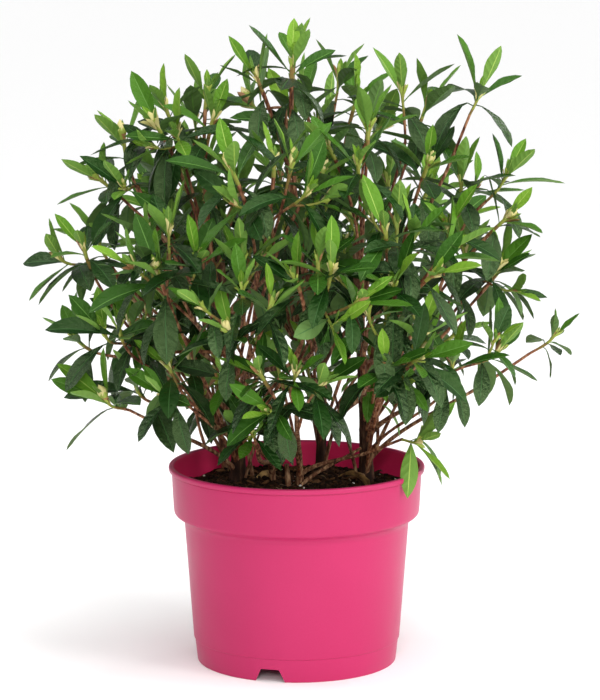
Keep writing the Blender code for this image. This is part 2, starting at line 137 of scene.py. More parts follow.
def feed(tree, slot, value):
    """Link a signal to a socket, or set the socket to a plain value."""
    if isinstance(value, Signal):
        tree.links.new(value.socket, slot)
    else:
        slot.default_value = value


print("a signal answers to", [name.strip("_") for name in ("__add__", "__sub__", "__mul__")
                              if name in vars(Signal)])

# %% Colours
def display(red, green, blue):
    """A colour as a screen names it, 0 to 255, turned into the light that shaders work in."""
    shares = [channel / 255 for channel in (red, green, blue)]
    return [share / 12.92 if share < 0.04045 else ((share + 0.055) / 1.055) ** 2.4
            for share in shares]


print("a mid grey of 128 on screen is", round(display(128, 128, 128)[0], 3), "of white light")


# %% Finishes
class Finish:
    """One material: a Principled shader, and the nodes that feed it."""

    def __init__(self, name, colour, roughness, **sockets):
        self.material = bpy.data.materials.new(name)
        self.material.use_nodes = True
        self.tree = self.material.node_tree
        self.shader = self.tree.nodes["Principled BSDF"]
        self.set("Base Color", (*colour, 1.0) if isinstance(colour, list) else colour)
        self.set("Roughness", roughness)
        for key, value in sockets.items():
            self.set(key.replace("_", " "), value)

    def set(self, key, value):
        feed(self.tree, self.shader.inputs[key], value)

    def node(self, kind, settings, sockets, output=0):
        node = self.tree.nodes.new(kind)
        for key, value in settings.items():
            if key == "stops":
                self.set_stops(node.color_ramp.elements, value)
            else:
                setattr(node, key, value)
        for key, value in sockets.items():
            feed(self.tree, node.inputs[key], value)
        return Signal(self.tree, node.outputs[output])

    @staticmethod
    def set_stops(elements, stops):
        while len(elements) < len(stops):
            elements.new(1.0)
        for element, (place, colour) in zip(elements, stops):
            element.position = place
            element.color = (*colour, 1.0)

    def place(self, stretch=(1.0, 1.0, 1.0)):
        """The surface's own place in metres, stretched along the axes."""
        spot = self.node("ShaderNodeTexCoord", {}, {}, "Object")
        return self.node("ShaderNodeMapping", {}, {"Vector": spot, "Scale": stretch})

    def cloud(self, scale, detail=3.0, rough=0.55, stretch=(1.0, 1.0, 1.0)):
        """Soft noise with this many lumps to the metre."""
        return self.node("ShaderNodeTexNoise", {}, {"Vector": self.place(stretch), "Scale": scale,
                                                    "Detail": detail, "Roughness": rough})

    def ramp(self, signal, stops):
        return self.node("ShaderNodeValToRGB", {"stops": stops}, {"Fac": signal})

    def mix(self, share, first, second):
        """First colour where the share is 0, second where it is 1."""
        colours = [value if isinstance(value, Signal) else (*value, 1.0) for value in (first, second)]
        return self.node("ShaderNodeMix", {"data_type": "RGBA"},
                         {0: share, 6: colours[0], 7: colours[1]}, 2)

    def relief(self, height, strength, depth):
        """Let light fall as if the surface rose by this height, with depth in metres."""
        bump = self.node("ShaderNodeBump", {}, {"Height": height, "Strength": strength,
                                                "Distance": depth}, "Normal")
        self.set("Normal", bump)


print("a finish offers", [name for name in vars(Finish) if not name.startswith("_")])

# %% [markdown]
# ## The studio
#
# A plant is shown best on white, in the light of large soft sources: then no leaf has a hard
# shadow, and dark glossy leaves carry broad pale reflections. The floor is a wide disc under a
# dim white world. A sun with a very wide disc stands for the bank of lights overhead. It lights
# the floor evenly to its far edge, which keeps the background white. Area lights stand for soft
# boxes: the key at the front right, one high on the left, one straight ahead that fills the
# shade under the crown, one overhead, and a weak one at the back right that draws a light edge
# along the leaves.

# %% Floor and world
FLOOR_RADIUS = 30.0
FLOOR_SIDES = 96
WORLD_STRENGTH = 0.35


def make_floor():
    bm = bmesh.new()
    bmesh.ops.create_circle(bm, cap_ends=True, segments=FLOOR_SIDES, radius=FLOOR_RADIUS)
    mesh = bpy.data.meshes.new("floor")
    bm.to_mesh(mesh)
    bm.free()
    floor = bpy.data.objects.new("floor", mesh)
    bpy.context.scene.collection.objects.link(floor)
    mesh.materials.append(Finish("studio_white", display(252, 252, 252), 0.9).material)


def light_the_world(strength):
    world = bpy.data.worlds.new("studio")
    world.use_nodes = True
    background = world.node_tree.nodes["Background"]
    background.inputs["Color"].default_value = (1.0, 1.0, 1.0, 1.0)
    background.inputs["Strength"].default_value = strength
    bpy.context.scene.world = world


make_floor()
light_the_world(WORLD_STRENGTH)
bpy.context.scene.view_settings.view_transform = "Standard"
print("floor:", 2 * FLOOR_RADIUS, "m across, under a world of strength", WORLD_STRENGTH)

# %% Sun and soft boxes
# Name, place, what it looks at, width, height, watts
SOFT_BOXES = [
    ("key_box", (1.80, -1.30, 1.10), (0.0, 0.0, 0.26), 0.60, 0.80, 15.0),
    ("side_box", (-1.50, 0.35, 1.75), (0.0, 0.0, 0.40), 0.60, 0.90, 11.0),
    ("front_box", (-0.20, -2.35, 1.05), (0.0, 0.0, 0.36), 0.50, 0.50, 14.0),
    ("top_box", (0.10, -0.50, 2.05), (0.0, 0.0, 0.35), 0.50, 0.50, 6.5),
    ("edge_box", (1.25, 1.45, 1.00), (0.0, 0.0, 0.25), 0.40, 1.00, 5.0),
]
SUN_STRENGTH = 3.0
SUN_ANGLE = math.radians(110)
SUN_PLACE = (0.95, -0.85, 1.3)     # the sun shines from this side


def make_soft_box(name, place, target, width, height, watts):
    light = bpy.data.lights.new(name, "AREA")
    light.shape = "RECTANGLE"
    light.size = width
    light.size_y = height
    light.energy = watts
    box = bpy.data.objects.new(name, light)
    box.location = place
    box.rotation_euler = (Vector(target) - Vector(place)).to_track_quat("-Z", "Y").to_euler()
    bpy.context.scene.collection.objects.link(box)


def make_sun():
    light = bpy.data.lights.new("sun", "SUN")
    light.energy = SUN_STRENGTH
    light.angle = SUN_ANGLE
    sun = bpy.data.objects.new("sun", light)
    sun.rotation_euler = (-Vector(SUN_PLACE)).to_track_quat("-Z", "Y").to_euler()
    bpy.context.scene.collection.objects.link(sun)


for box in SOFT_BOXES:
    make_soft_box(*box)
make_sun()
print("soft boxes:", len(SOFT_BOXES), "giving", sum(box[5] for box in SOFT_BOXES), "watts")

# %% [markdown]
# ## The pot
#
# The real pot is moulded in one shot of satin plastic about two millimetres thick. Its look
# comes from its profile: a rolled lip with a fine groove under it, a deep collar whose lower
# edge is round, a tapering body, and a foot band set off by a fine line. A wire outline is drawn
# with sharp corners, its corners are bevelled, and the outline is spun round the axis. That
# gives every edge its true small radius with a few named sizes.

# %% Pot sizes
POT_STEPS = 160
POT_HEIGHT = 0.1783
LIP_RADIUS = 0.1150
LIP_DEPTH = 0.0053
COLLAR_TOP_RADIUS = 0.1122
COLLAR_FOOT_RADIUS = 0.1105
COLLAR_FOOT = 0.1400
COLLAR_UNDERSIDE = 0.1350
BODY_TOP_RADIUS = 0.1009
BODY_TOP = 0.1280
BODY_FOOT_RADIUS = 0.0929
BODY_FOOT = 0.0210
FOOT_RADIUS = 0.0919
FOOT_BASE_RADIUS = 0.0896
WALL = 0.0022
FLOOR_UNDERSIDE = 0.0120
FLOOR_TOP = 0.0145
PAD_RADIUS = 0.0300

# Radius, height and the radius that the corner is rounded to
POT_OUTLINE = [
    (0.0, 0.0, 0.0),
    (PAD_RADIUS, 0.0, 0.0006),
    (PAD_RADIUS + 0.001, FLOOR_UNDERSIDE, 0.0006),
    (FOOT_BASE_RADIUS - WALL + 0.001, FLOOR_UNDERSIDE, 0.0006),
    (FOOT_BASE_RADIUS - WALL, 0.0, 0.0006),
    (FOOT_BASE_RADIUS, 0.0, 0.0008),
    (FOOT_RADIUS, BODY_FOOT - 0.0006, 0.0003),
    (FOOT_RADIUS + 0.0001, BODY_FOOT, 0.0002),
    (BODY_FOOT_RADIUS, BODY_FOOT + 0.0004, 0.0004),
    (BODY_TOP_RADIUS, BODY_TOP, 0.0030),
    (COLLAR_FOOT_RADIUS - 0.006, COLLAR_UNDERSIDE - 0.003, 0.0010),
    (COLLAR_FOOT_RADIUS - 0.0006, COLLAR_UNDERSIDE, 0.0018),
    (COLLAR_FOOT_RADIUS, COLLAR_FOOT, 0.0020),
    (COLLAR_TOP_RADIUS, POT_HEIGHT - LIP_DEPTH - 0.0007, 0.0003),
    (COLLAR_TOP_RADIUS - 0.0003, POT_HEIGHT - LIP_DEPTH, 0.0003),
    (LIP_RADIUS - 0.0004, POT_HEIGHT - LIP_DEPTH + 0.0006, 0.0006),
    (LIP_RADIUS, POT_HEIGHT - 0.0012, 0.0010),
    (LIP_RADIUS - 0.0012, POT_HEIGHT, 0.0009),
    (COLLAR_TOP_RADIUS - WALL + 0.0004, POT_HEIGHT - 0.0002, 0.0010),
    (COLLAR_TOP_RADIUS - WALL, POT_HEIGHT - LIP_DEPTH, 0.0006),
    (COLLAR_FOOT_RADIUS - WALL, COLLAR_FOOT + 0.0010, 0.0015),
    (BODY_TOP_RADIUS - WALL, BODY_TOP, 0.0020),
    (BODY_FOOT_RADIUS - WALL, FLOOR_TOP + 0.0020, 0.0015),
    (BODY_FOOT_RADIUS - WALL - 0.0020, FLOOR_TOP, 0.0006),
    (0.0, FLOOR_TOP, 0.0),
]
print("pot outline:", len(POT_OUTLINE), "corners,", 2 * LIP_RADIUS * 1000, "mm over the lip")

# %% Spin a rounded outline
MERGE_DISTANCE = 0.00001
ROUNDING_SEGMENTS = 3


def wire(outline):
    """Corners and edges of an outline in the XZ plane, with each corner rounded by a bevel."""
    bm = bmesh.new()
    corners = [bm.verts.new((radius, 0.0, height)) for radius, height, _ in outline]
    for pair in zip(corners, corners[1:]):
        bm.edges.new(pair)
    for corner, (_, _, rounding) in zip(corners, outline):
        if rounding:
            bmesh.ops.bevel(bm, geom=[corner], offset=rounding, offset_type="OFFSET",
                            segments=ROUNDING_SEGMENTS, profile=0.5, affect="VERTICES", material=-1)
    return bm


def spun(outline, steps):
    """A closed solid of revolution, facing outwards."""
    bm = wire(outline)
    bmesh.ops.spin(bm, geom=bm.verts[:] + bm.edges[:], cent=(0, 0, 0), axis=(0, 0, 1),
                   steps=steps, angle=math.tau, use_merge=True)
    merge(bm)
    return bm


def merge(bm):
    """Join corners that lie on one another, and turn every face outwards."""
    bmesh.ops.remove_doubles(bm, verts=bm.verts, dist=MERGE_DISTANCE)
    bmesh.ops.recalc_face_normals(bm, faces=bm.faces)


def finished(name, bm, materials, sharp_from=None):
    """Turn a bmesh into a piece of the plant, shaded smooth up to an angle where one is given."""
    mesh = bpy.data.meshes.new(name)
    bm.to_mesh(mesh)
    bm.free()
    for material in materials:
        mesh.materials.append(material)
    if sharp_from:
        mesh.shade_smooth()
        mesh.set_sharp_from_angle(angle=math.radians(sharp_from))
    piece = bpy.data.objects.new(name, mesh)
    bpy.context.scene.collection.objects.link(piece)
    return piece


print("an outline is rounded with", ROUNDING_SEGMENTS, "segments a corner, spun in", POT_STEPS, "steps")

# %% Cut the notches
NOTCH_COUNT = 3
NOTCH_HEIGHT = 0.0116
NOTCH_FOOT_WIDTH = 0.0270
NOTCH_TOP_WIDTH = 0.0166
NOTCH_TURN = math.radians(-105.2)
NOTCH_BELOW = 0.004        # the cutter starts this far under the pot,
NOTCH_INSIDE = 0.012       # this far inside the foot's outer face,
NOTCH_DEPTH = 0.030        # and runs outwards this far
NOTCH_ROUNDING = 0.0012


def cut_notch(pot, turn):
    """Cut one trapezoid notch through the foot's wall, with the corners a little rounded."""
    slope = (NOTCH_FOOT_WIDTH - NOTCH_TOP_WIDTH) / 2 / NOTCH_HEIGHT
    foot_half = NOTCH_FOOT_WIDTH / 2 + slope * NOTCH_BELOW
    top_half = NOTCH_TOP_WIDTH / 2
    outline = [(-foot_half, -NOTCH_BELOW), (foot_half, -NOTCH_BELOW),
               (top_half, NOTCH_HEIGHT), (-top_half, NOTCH_HEIGHT)]
    bm = bmesh.new()
    start = FOOT_BASE_RADIUS - NOTCH_INSIDE
    face = bm.faces.new([bm.verts.new((start, y, z)) for y, z in outline])
    grown = bmesh.ops.extrude_face_region(bm, geom=[face])
    far = [item for item in grown["geom"] if isinstance(item, bmesh.types.BMVert)]
    bmesh.ops.translate(bm, verts=far, vec=(NOTCH_DEPTH, 0.0, 0.0))
    upper = [edge for edge in bm.edges
             if all(vert.co.z > 0 for vert in edge.verts)
             and abs(edge.verts[0].co.x - edge.verts[1].co.x) > NOTCH_DEPTH / 2]
    bmesh.ops.bevel(bm, geom=upper, offset=NOTCH_ROUNDING, segments=ROUNDING_SEGMENTS, profile=0.5,
                    affect="EDGES", material=-1)
    bmesh.ops.rotate(bm, verts=bm.verts, cent=(0, 0, 0), matrix=Matrix.Rotation(turn, 3, "Z"))
    bmesh.ops.recalc_face_normals(bm, faces=bm.faces)
    cutter = finished("notch_cutter", bm, [])
    cut = pot.modifiers.new("notch", "BOOLEAN")
    cut.operation = "DIFFERENCE"
    cut.object = cutter
    keep_evaluated(pot)
    bpy.data.objects.remove(cutter)


def keep_evaluated(piece):
    """Swap a piece's mesh for the one that its modifiers give."""
    graph = bpy.context.evaluated_depsgraph_get()
    mesh = bpy.data.meshes.new_from_object(piece.evaluated_get(graph))
    piece.modifiers.clear()
    piece.data = mesh


print("each notch is", NOTCH_HEIGHT * 1000, "mm high and", NOTCH_FOOT_WIDTH * 1000, "mm wide")

# %% [markdown]
# ## Satin plastic
#
# Moulded pot plastic is one colour all through, yet it never looks like one flat colour: the
# pigment is a little uneven in broad drifts, the mould leaves a very fine skin texture, and
# handling leaves faint rubbed patches where the gloss differs. Each of those is a cloud of
# noise at its own scale, and none of them is strong enough to be seen as a pattern. The upper
# inner wall is drawn in a brighter pink: painted light, standing in for the light that comes
# through the thin wall above the mix.

# %% Pot plastic
PINK = ((181, 37, 91), (170, 31, 83))
# Painted light: the upper inner wall is drawn in this brighter pink, for the light that comes through
# the thin wall.
PAINTED_LIGHT_PINK = ((228, 36, 94), (216, 31, 86))
PALE_SPECK = (220, 80, 130)
POT_SHARP_ANGLE = 38
PAINTED_LIGHT_FROM = 0.100    # the lit part of the inner wall starts at this height


def pot_plastic(name, light, dark):
    finish = Finish(name, display(*light), 0.4, Specular_IOR_Level=0.25)
    drift = finish.cloud(14.0, 2.0)
    pink = finish.mix(drift, display(*light), display(*dark))
    specks = finish.cloud(900.0, 2.0, 0.7)
    finish.set("Base Color", finish.mix(specks * 0.14, pink, display(*PALE_SPECK)))
    rubbed = finish.cloud(45.0, 4.0, 0.6, (1.0, 1.0, 0.35))
    finish.set("Roughness", rubbed * 0.18 + 0.29)
    skin = finish.cloud(1600.0, 2.0, 0.6)
    waves = finish.cloud(38.0, 2.0, 0.4, (1.0, 1.0, 0.5))
    finish.relief(skin * 0.25 + waves, 0.35, 0.0004)
    return finish.material


def is_painted_light_wall(polygon):
    """True for the upper inner wall, which faces the axis and is drawn in the brighter pink of painted
    light.
    """
    out = Vector((polygon.center.x, polygon.center.y, 0.0)).normalized()
    return polygon.normal.dot(out) < -0.5 and PAINTED_LIGHT_FROM < polygon.center.z < POT_HEIGHT - 0.001


# The second material is the brighter pink of painted light, for the upper inner wall.
pot = finished("pot_shell", spun(POT_OUTLINE, POT_STEPS),
               [pot_plastic("pot_plastic", *PINK), pot_plastic("pot_plastic_painted_light", *PAINTED_LIGHT_PINK)])
for number in range(NOTCH_COUNT):
    cut_notch(pot, NOTCH_TURN + number * math.tau / NOTCH_COUNT)
pot.data.shade_smooth()
pot.data.set_sharp_from_angle(angle=math.radians(POT_SHARP_ANGLE))
for polygon in pot.data.polygons:
    polygon.material_index = 1 if is_painted_light_wall(polygon) else 0
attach(pot, "root")
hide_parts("pot")
print("pot:", len(pot.data.polygons), "faces")

# %% [markdown]
# ## Shapes that repeat
#
# A shrub has thousands of small like things: leaves, bud scales, crumbs of bark. Each kind is
# modelled once, as a blank made with bmesh operators, and then copied. Copies made as separate
# objects would be slow and would be lost on export, so the corners of every copy are worked
# out at once with numpy and gathered into one mesh. That mesh is called a heap here.

# %% Blanks
class Blank:
    """One small shape, kept as arrays: its corners, its triangles and a slot for each."""

    def __init__(self, bm, slot_of=lambda face: 0):
        bmesh.ops.triangulate(bm, faces=bm.faces)
        bm.normal_update()
        bm.verts.index_update()
        self.corners = np.array([vert.co for vert in bm.verts])
        self.triangles = np.array([[vert.index for vert in face.verts] for face in bm.faces])
        self.slots = np.array([slot_of(face) for face in bm.faces])
        bm.free()


trial = bmesh.new()
bmesh.ops.create_cube(trial)
print("a cube kept as a blank has", len(Blank(trial).triangles), "triangles")

# %% Heaps
HEAP_SHARP_ANGLE = 70


class Heap:
    """Many copies of blanks, gathered into one mesh."""

    def __init__(self, name, materials):
        self.name = name
        self.materials = materials
        self.corners = []
        self.triangles = []
        self.slots = []
        self.flats = []
        self.count = 0

    def add(self, blank, corners, slots=None):
        self.corners.append(corners)
        self.triangles.append(blank.triangles + self.count)
        self.slots.append(blank.slots if slots is None else slots)
        self.flats.append(blank.corners[:, :2])
        self.count += len(corners)

    def build(self):
        mesh = bpy.data.meshes.new(self.name)
        mesh.from_pydata(np.concatenate(self.corners).tolist(), [],
                         np.concatenate(self.triangles).tolist())
        for material in self.materials:
            mesh.materials.append(material)
        mesh.polygons.foreach_set("material_index", np.concatenate(self.slots).astype(np.int32))
        owners = np.zeros(len(mesh.loops), dtype=np.int32)
        mesh.loops.foreach_get("vertex_index", owners)
        flat = np.concatenate(self.flats)[owners].astype(np.float32)
        mesh.uv_layers.new(name="flat").data.foreach_set("uv", flat.ravel())
        mesh.shade_smooth()
        mesh.set_sharp_from_angle(angle=math.radians(HEAP_SHARP_ANGLE))
        piece = bpy.data.objects.new(self.name, mesh)
        bpy.context.scene.collection.objects.link(piece)
        return piece


print("a heap is shaded smooth up to", HEAP_SHARP_ANGLE, "degrees")


# %% Turn and copy a blank
def turned_to(way, spin):
    """A rotation that carries +Z to a direction, after a spin about it."""
    return Vector(way).to_track_quat("Z", "Y").to_matrix() @ Matrix.Rotation(spin, 3, "Z")


def copied(blank, place, way, spin, stretch):
    """A blank's corners, stretched along its own axes, turned so that +Z points a given way."""
    turn = np.array(turned_to(way, spin))
    return (blank.corners * stretch) @ turn.T + np.array(place)


print("turned to +X, a blank's own +Z is", [round(part) for part in turned_to((1, 0, 0), 0.0).col[2]])

# %% [markdown]
# ## Potting mix
#
# The mix is peat and composted bark, watered and settled, so it is nearly black and lumpy, and
# it rises a little round each stem. From a low camera its surface is seen edge on, where the
# lumps show as a broken line and a smooth disc would look false. The body is spun with many
# rings, and the rings are pushed up and down by noise. Crumbs, bark chips, pale grit and fine
# roots lie on it.

# %% The surface of the mix
SOIL_LEVEL = 0.1560
SOIL_TOP_RADIUS = 0.1089
SOIL_LUMP = 0.0034         # height of the broad lumps, and how many there are to the metre
SOIL_LUMPS = 55
SOIL_GRAIN = 0.0016        # the same for the fine ones
SOIL_GRAINS = 330
SOIL_DROP = 0.0015         # the lumps stand mostly below the solid's flat top
CALM_EDGE = 0.010          # they die away this near the pot's wall
MOUND = 0.0035             # how much the mix rises at a stem
MOUND_REACH = 0.016

# The stems come into it too: name, foot (x, y), tip (x, y, z), foot radius, tip radius
STEMS = [
    ("stem_left", (-0.053, 0.035), (-0.070, 0.020, 0.395), 0.0063, 0.0026),
    ("stem_right", (0.063, 0.028), (0.052, -0.020, 0.380), 0.0060, 0.0026),
    ("stem_back", (0.023, 0.080), (0.020, 0.085, 0.400), 0.0047, 0.0024),
    ("stem_front", (0.003, 0.004), (0.000, -0.095, 0.240), 0.0028, 0.0019),
    ("stem_rear_left", (-0.066, 0.080), (-0.100, 0.105, 0.270), 0.0026, 0.0019),
    ("stem_middle", (-0.022, 0.030), (-0.034, -0.060, 0.200), 0.0025, 0.0019),
]


def soil_height(x, y):
    """How high the mix stands above its level at a place."""
    broad = noise.fractal((x * SOIL_LUMPS, y * SOIL_LUMPS, 3.1), 1.0, 2.0, 3) * SOIL_LUMP
    grain = noise.fractal((x * SOIL_GRAINS, y * SOIL_GRAINS, 9.7), 0.9, 2.1, 3) * SOIL_GRAIN
    mound = sum(math.exp(-((x - foot[0]) ** 2 + (y - foot[1]) ** 2) / MOUND_REACH ** 2)
                for _, foot, _, _, _ in STEMS)
    edge = min(1.0, (SOIL_TOP_RADIUS - math.hypot(x, y)) / CALM_EDGE)
    return (broad + grain) * (0.35 + 0.65 * edge) + MOUND * min(mound, 1.0) - SOIL_DROP


print("at the left stem the mix stands", round(soil_height(*STEMS[0][1]) * 1000, 1), "mm high")

# %% The body of the mix
SOIL_RINGS = 46
SOIL_STEPS = 150
HAIR = 0.0003              # the air left between the mix and the pot's wall
MIX_SHARP_ANGLE = 60


def mix_body():
    slack = WALL + HAIR
    outline = [
        (0.0, FLOOR_TOP + HAIR, 0.0),
        (BODY_FOOT_RADIUS - slack - 0.0024, FLOOR_TOP + HAIR, 0.0),
        (BODY_FOOT_RADIUS - slack, FLOOR_TOP + 0.0030, 0.0),
        (BODY_TOP_RADIUS - slack, BODY_TOP - 0.0020, 0.0),
        (COLLAR_FOOT_RADIUS - slack - 0.0006, COLLAR_FOOT + 0.0030, 0.0),
        (SOIL_TOP_RADIUS - 0.0002, SOIL_LEVEL - 0.0025, 0.0),
    ]
    rings = [(SOIL_TOP_RADIUS * math.sqrt(1 - ring / SOIL_RINGS) * 0.998, SOIL_LEVEL, 0.0)
             for ring in range(SOIL_RINGS)]
    bm = spun(outline + rings + [(0.0, SOIL_LEVEL, 0.0)], SOIL_STEPS)
    for vert in bm.verts:
        if vert.co.z > SOIL_LEVEL - 0.0001:
            vert.co.z += soil_height(vert.co.x, vert.co.y)
    return bm


def potting_mix():
    finish = Finish("potting_mix", display(40, 30, 24), 0.95, Specular_IOR_Level=0.1)
    lumps = finish.cloud(240.0, 5.0, 0.7)
    colour = finish.ramp(lumps, [(0.34, display(20, 12, 8)), (0.50, display(50, 31, 20)),
                                 (0.62, display(80, 52, 33)), (0.74, display(124, 88, 56))])
    finish.set("Base Color", colour)
    finish.set("Roughness", finish.cloud(500.0, 2.0) * 0.3 + 0.7)
    finish.relief(finish.cloud(900.0, 5.0, 0.75), 0.9, 0.0015)
    return finish.material


mix = finished("potting_mix", mix_body(), [potting_mix()], MIX_SHARP_ANGLE)
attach(mix, "root")
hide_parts("root_ball")
heights = [vert.co.z for vert in mix.data.vertices]
print("mix:", len(mix.data.polygons), "faces, between", round(min(heights), 4), "and",
      round(max(heights), 4), "m")

# %% Crumbs, chips and grit
CRUMB_KINDS = 8
CRUMB_DENT = 0.45          # how far a crumb's corners are pushed, as a share of its radius


def crumb_blanks(count):
    """A few lumps that differ: a small ball with every corner pushed in or out."""
    blanks = []
    for number in range(count):
        bm = bmesh.new()
        bmesh.ops.create_icosphere(bm, subdivisions=1, radius=1.0)
        for vert in bm.verts:
            vert.co *= 1.0 + CRUMB_DENT * noise.noise(vert.co * 1.7 + Vector((number * 7.0, 0, 0)))
        blanks.append(Blank(bm))
    return blanks


def litter_finishes():
    dull = {"Specular_IOR_Level": 0.1}
    finishes = [Finish("peat_crumb", display(58, 37, 24), 0.95, **dull),
                Finish("dark_crumb", display(30, 18, 12), 0.95, **dull),
                Finish("bark_chip", display(98, 66, 42), 0.85, **dull),
                Finish("grit", display(226, 222, 212), 0.6)]
    return [finish.material for finish in finishes]


crumbs = crumb_blanks(CRUMB_KINDS)
print("kinds of crumb:", len(crumbs), "of", len(crumbs[0].triangles), "triangles each")

# %% Scatter the litter
WALL_MARGIN = 0.006        # litter stays this far from the pot's wall
# Name, how many, size range, squash range, finish
LITTER = [
    ("crumb", 1100, (0.0006, 0.0021), (0.6, 1.0), 0),
    ("dark_crumb", 900, (0.0008, 0.0028), (0.5, 0.9), 1),
    ("chip", 90, (0.0018, 0.0042), (0.25, 0.5), 2),
    ("grit", 60, (0.0004, 0.0010), (0.8, 1.0), 3),
]


def on_soil(dice, margin):
    """A random place on the mix, at least a margin inside the pot's wall."""
    radius = (SOIL_TOP_RADIUS - margin) * math.sqrt(dice.random())
    turn = dice.uniform(0, math.tau)
    x = radius * math.cos(turn)
    y = radius * math.sin(turn)
    return Vector((x, y, SOIL_LEVEL + soil_height(x, y)))


def make_litter():
    dice = random.Random(5)
    heap = Heap("potting_litter", litter_finishes())
    for _, count, sizes, squashes, slot in LITTER:
        for _ in range(count):
            size = dice.uniform(*sizes)
            blank = dice.choice(crumbs)
            squash = dice.uniform(*squashes)
            long = dice.uniform(1.0, 1.6 if slot < 2 else 2.2)
            way = Vector((dice.uniform(-0.5, 0.5), dice.uniform(-0.5, 0.5), 1.0)).normalized()
            place = on_soil(dice, WALL_MARGIN) + Vector((0, 0, size * squash * 0.35))
            corners = copied(blank, place, way, dice.uniform(0, math.tau),
                             (size * long, size, size * squash))
            heap.add(blank, corners, np.full(len(blank.triangles), slot))
    return heap.build()


litter = make_litter()
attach(litter, "root")
print("litter:", len(litter.data.polygons), "triangles")

# %% [markdown]
# ## The rule that the limbs follow
#
# Six stems rise from the mix, and boughs leave them. Each limb is a cubic curve between two
# ends and two directions, and each bough bows a little to one side until it passes every limb
# before it. The solid model grew its limbs by this rule, and the same rule with the same sizes is
# written again here, so that bark drawn on it lies exactly where the solids are.

# %% Sizes of the limbs and of the masses of foliage
UP = Vector((0.0, 0.0, 1.0))
STEM_STEPS = 7
BOUGH_STEPS = 6
FLARE = 0.45
FLARE_HEIGHT = 0.012
LIMB_CLEARANCE = 0.0012
BOUGH_TIP_RADIUS = 0.0019
BOUGH_SHIFTS = (0.0, 0.03, -0.03, 0.06, -0.06, 0.09, -0.09)
BOUGH_BOWS = (0.0, 0.008, -0.008, 0.016, -0.016, 0.024, -0.024, 0.034, -0.034)
CROWN_HEART = Vector((0.0, 0.02, 0.19))
STOP_SHORT = 0.030         # a bough stops this far from its mass, and a share of the reach more
STOP_SHARE = 0.75

# Name, limb it grows from, how far up that limb, middle of its shoot tips, reach, shoots
MASSES = [
    ("top_left", "stem_left", 1.00, (-0.092, -0.010, 0.490), 0.042, 5),
    ("upper_front", "stem_right", 1.00, (0.056, -0.080, 0.470), 0.040, 4),
    ("top_back", "stem_back", 1.00, (0.030, 0.105, 0.490), 0.050, 5),
    ("low_front", "stem_front", 1.00, (-0.006, -0.145, 0.285), 0.032, 4),
    ("rear_left_low", "stem_rear_left", 1.00, (-0.125, 0.120, 0.310), 0.045, 5),
    ("low_middle", "stem_middle", 1.00, (-0.038, -0.095, 0.230), 0.025, 2),
    ("top_middle", "stem_back", 0.55, (-0.010, -0.010, 0.522), 0.042, 5),
    ("top_right", "stem_right", 0.72, (0.102, 0.005, 0.488), 0.038, 4),
    ("top_right_tip", "stem_right", 0.62, (0.157, -0.030, 0.510), 0.030, 1),
    ("right_high", "stem_right", 0.50, (0.162, -0.010, 0.420), 0.040, 4),
    ("right_middle", "stem_right", 0.36, (0.168, 0.000, 0.352), 0.035, 4),
    ("right_low", "stem_right", 0.27, (0.152, -0.075, 0.288), 0.035, 4),
    ("right_tip", "stem_right", 0.16, (0.218, -0.020, 0.290), 0.030, 1),
    ("low_right", "stem_front", 0.20, (0.107, -0.040, 0.214), 0.030, 2),
    ("right_front_high", "stem_right", 0.56, (0.094, -0.130, 0.392), 0.042, 5),
    ("right_front_low", "stem_right", 0.33, (0.083, -0.145, 0.315), 0.038, 5),
    ("front", "stem_left", 0.42, (0.022, -0.165, 0.362), 0.038, 4),
    ("top_front", "stem_left", 0.66, (-0.024, -0.120, 0.448), 0.045, 5),
    ("front_left", "stem_left", 0.30, (-0.048, -0.158, 0.345), 0.042, 4),
    ("left_front", "stem_left", 0.52, (-0.116, -0.110, 0.380), 0.042, 4),
    ("left_high", "stem_left", 0.74, (-0.148, -0.010, 0.448), 0.035, 4),
    ("left_middle", "stem_left", 0.46, (-0.178, 0.000, 0.372), 0.030, 3),
    ("left_low", "stem_left", 0.34, (-0.160, -0.020, 0.302), 0.035, 4),
    ("left_tip", "stem_left", 0.07, (-0.160, -0.035, 0.240), 0.026, 2),
    ("left_front_low", "stem_left", 0.20, (-0.110, -0.095, 0.262), 0.035, 3),
    ("rear_left_high", "stem_rear_left", 0.60, (-0.105, 0.110, 0.412), 0.050, 5),
    ("rear_middle", "stem_back", 0.32, (-0.005, 0.165, 0.350), 0.050, 5),
    ("rear_right_low", "stem_back", 0.22, (0.112, 0.125, 0.288), 0.048, 5),
    ("rear_right_high", "stem_back", 0.46, (0.110, 0.115, 0.402), 0.050, 5),
]
print("limbs:", len(STEMS), "stems, masses of foliage:", len(MASSES))

# %% Curves and limbs
def curve(start, start_aim, end, end_aim, steps, bow=Vector()):
    """Evenly stepped points of a cubic curve that leaves and arrives along two directions."""
    third = (end - start).length / 3.0
    first = start + start_aim * third + bow
    second = end - end_aim * third + bow * 0.6
    points = []
    for step in range(steps + 1):
        t = step / steps
        u = 1.0 - t
        points.append(start * u**3 + first * (3 * u * u * t) + second * (3 * u * t * t) + end * t**3)
    return points


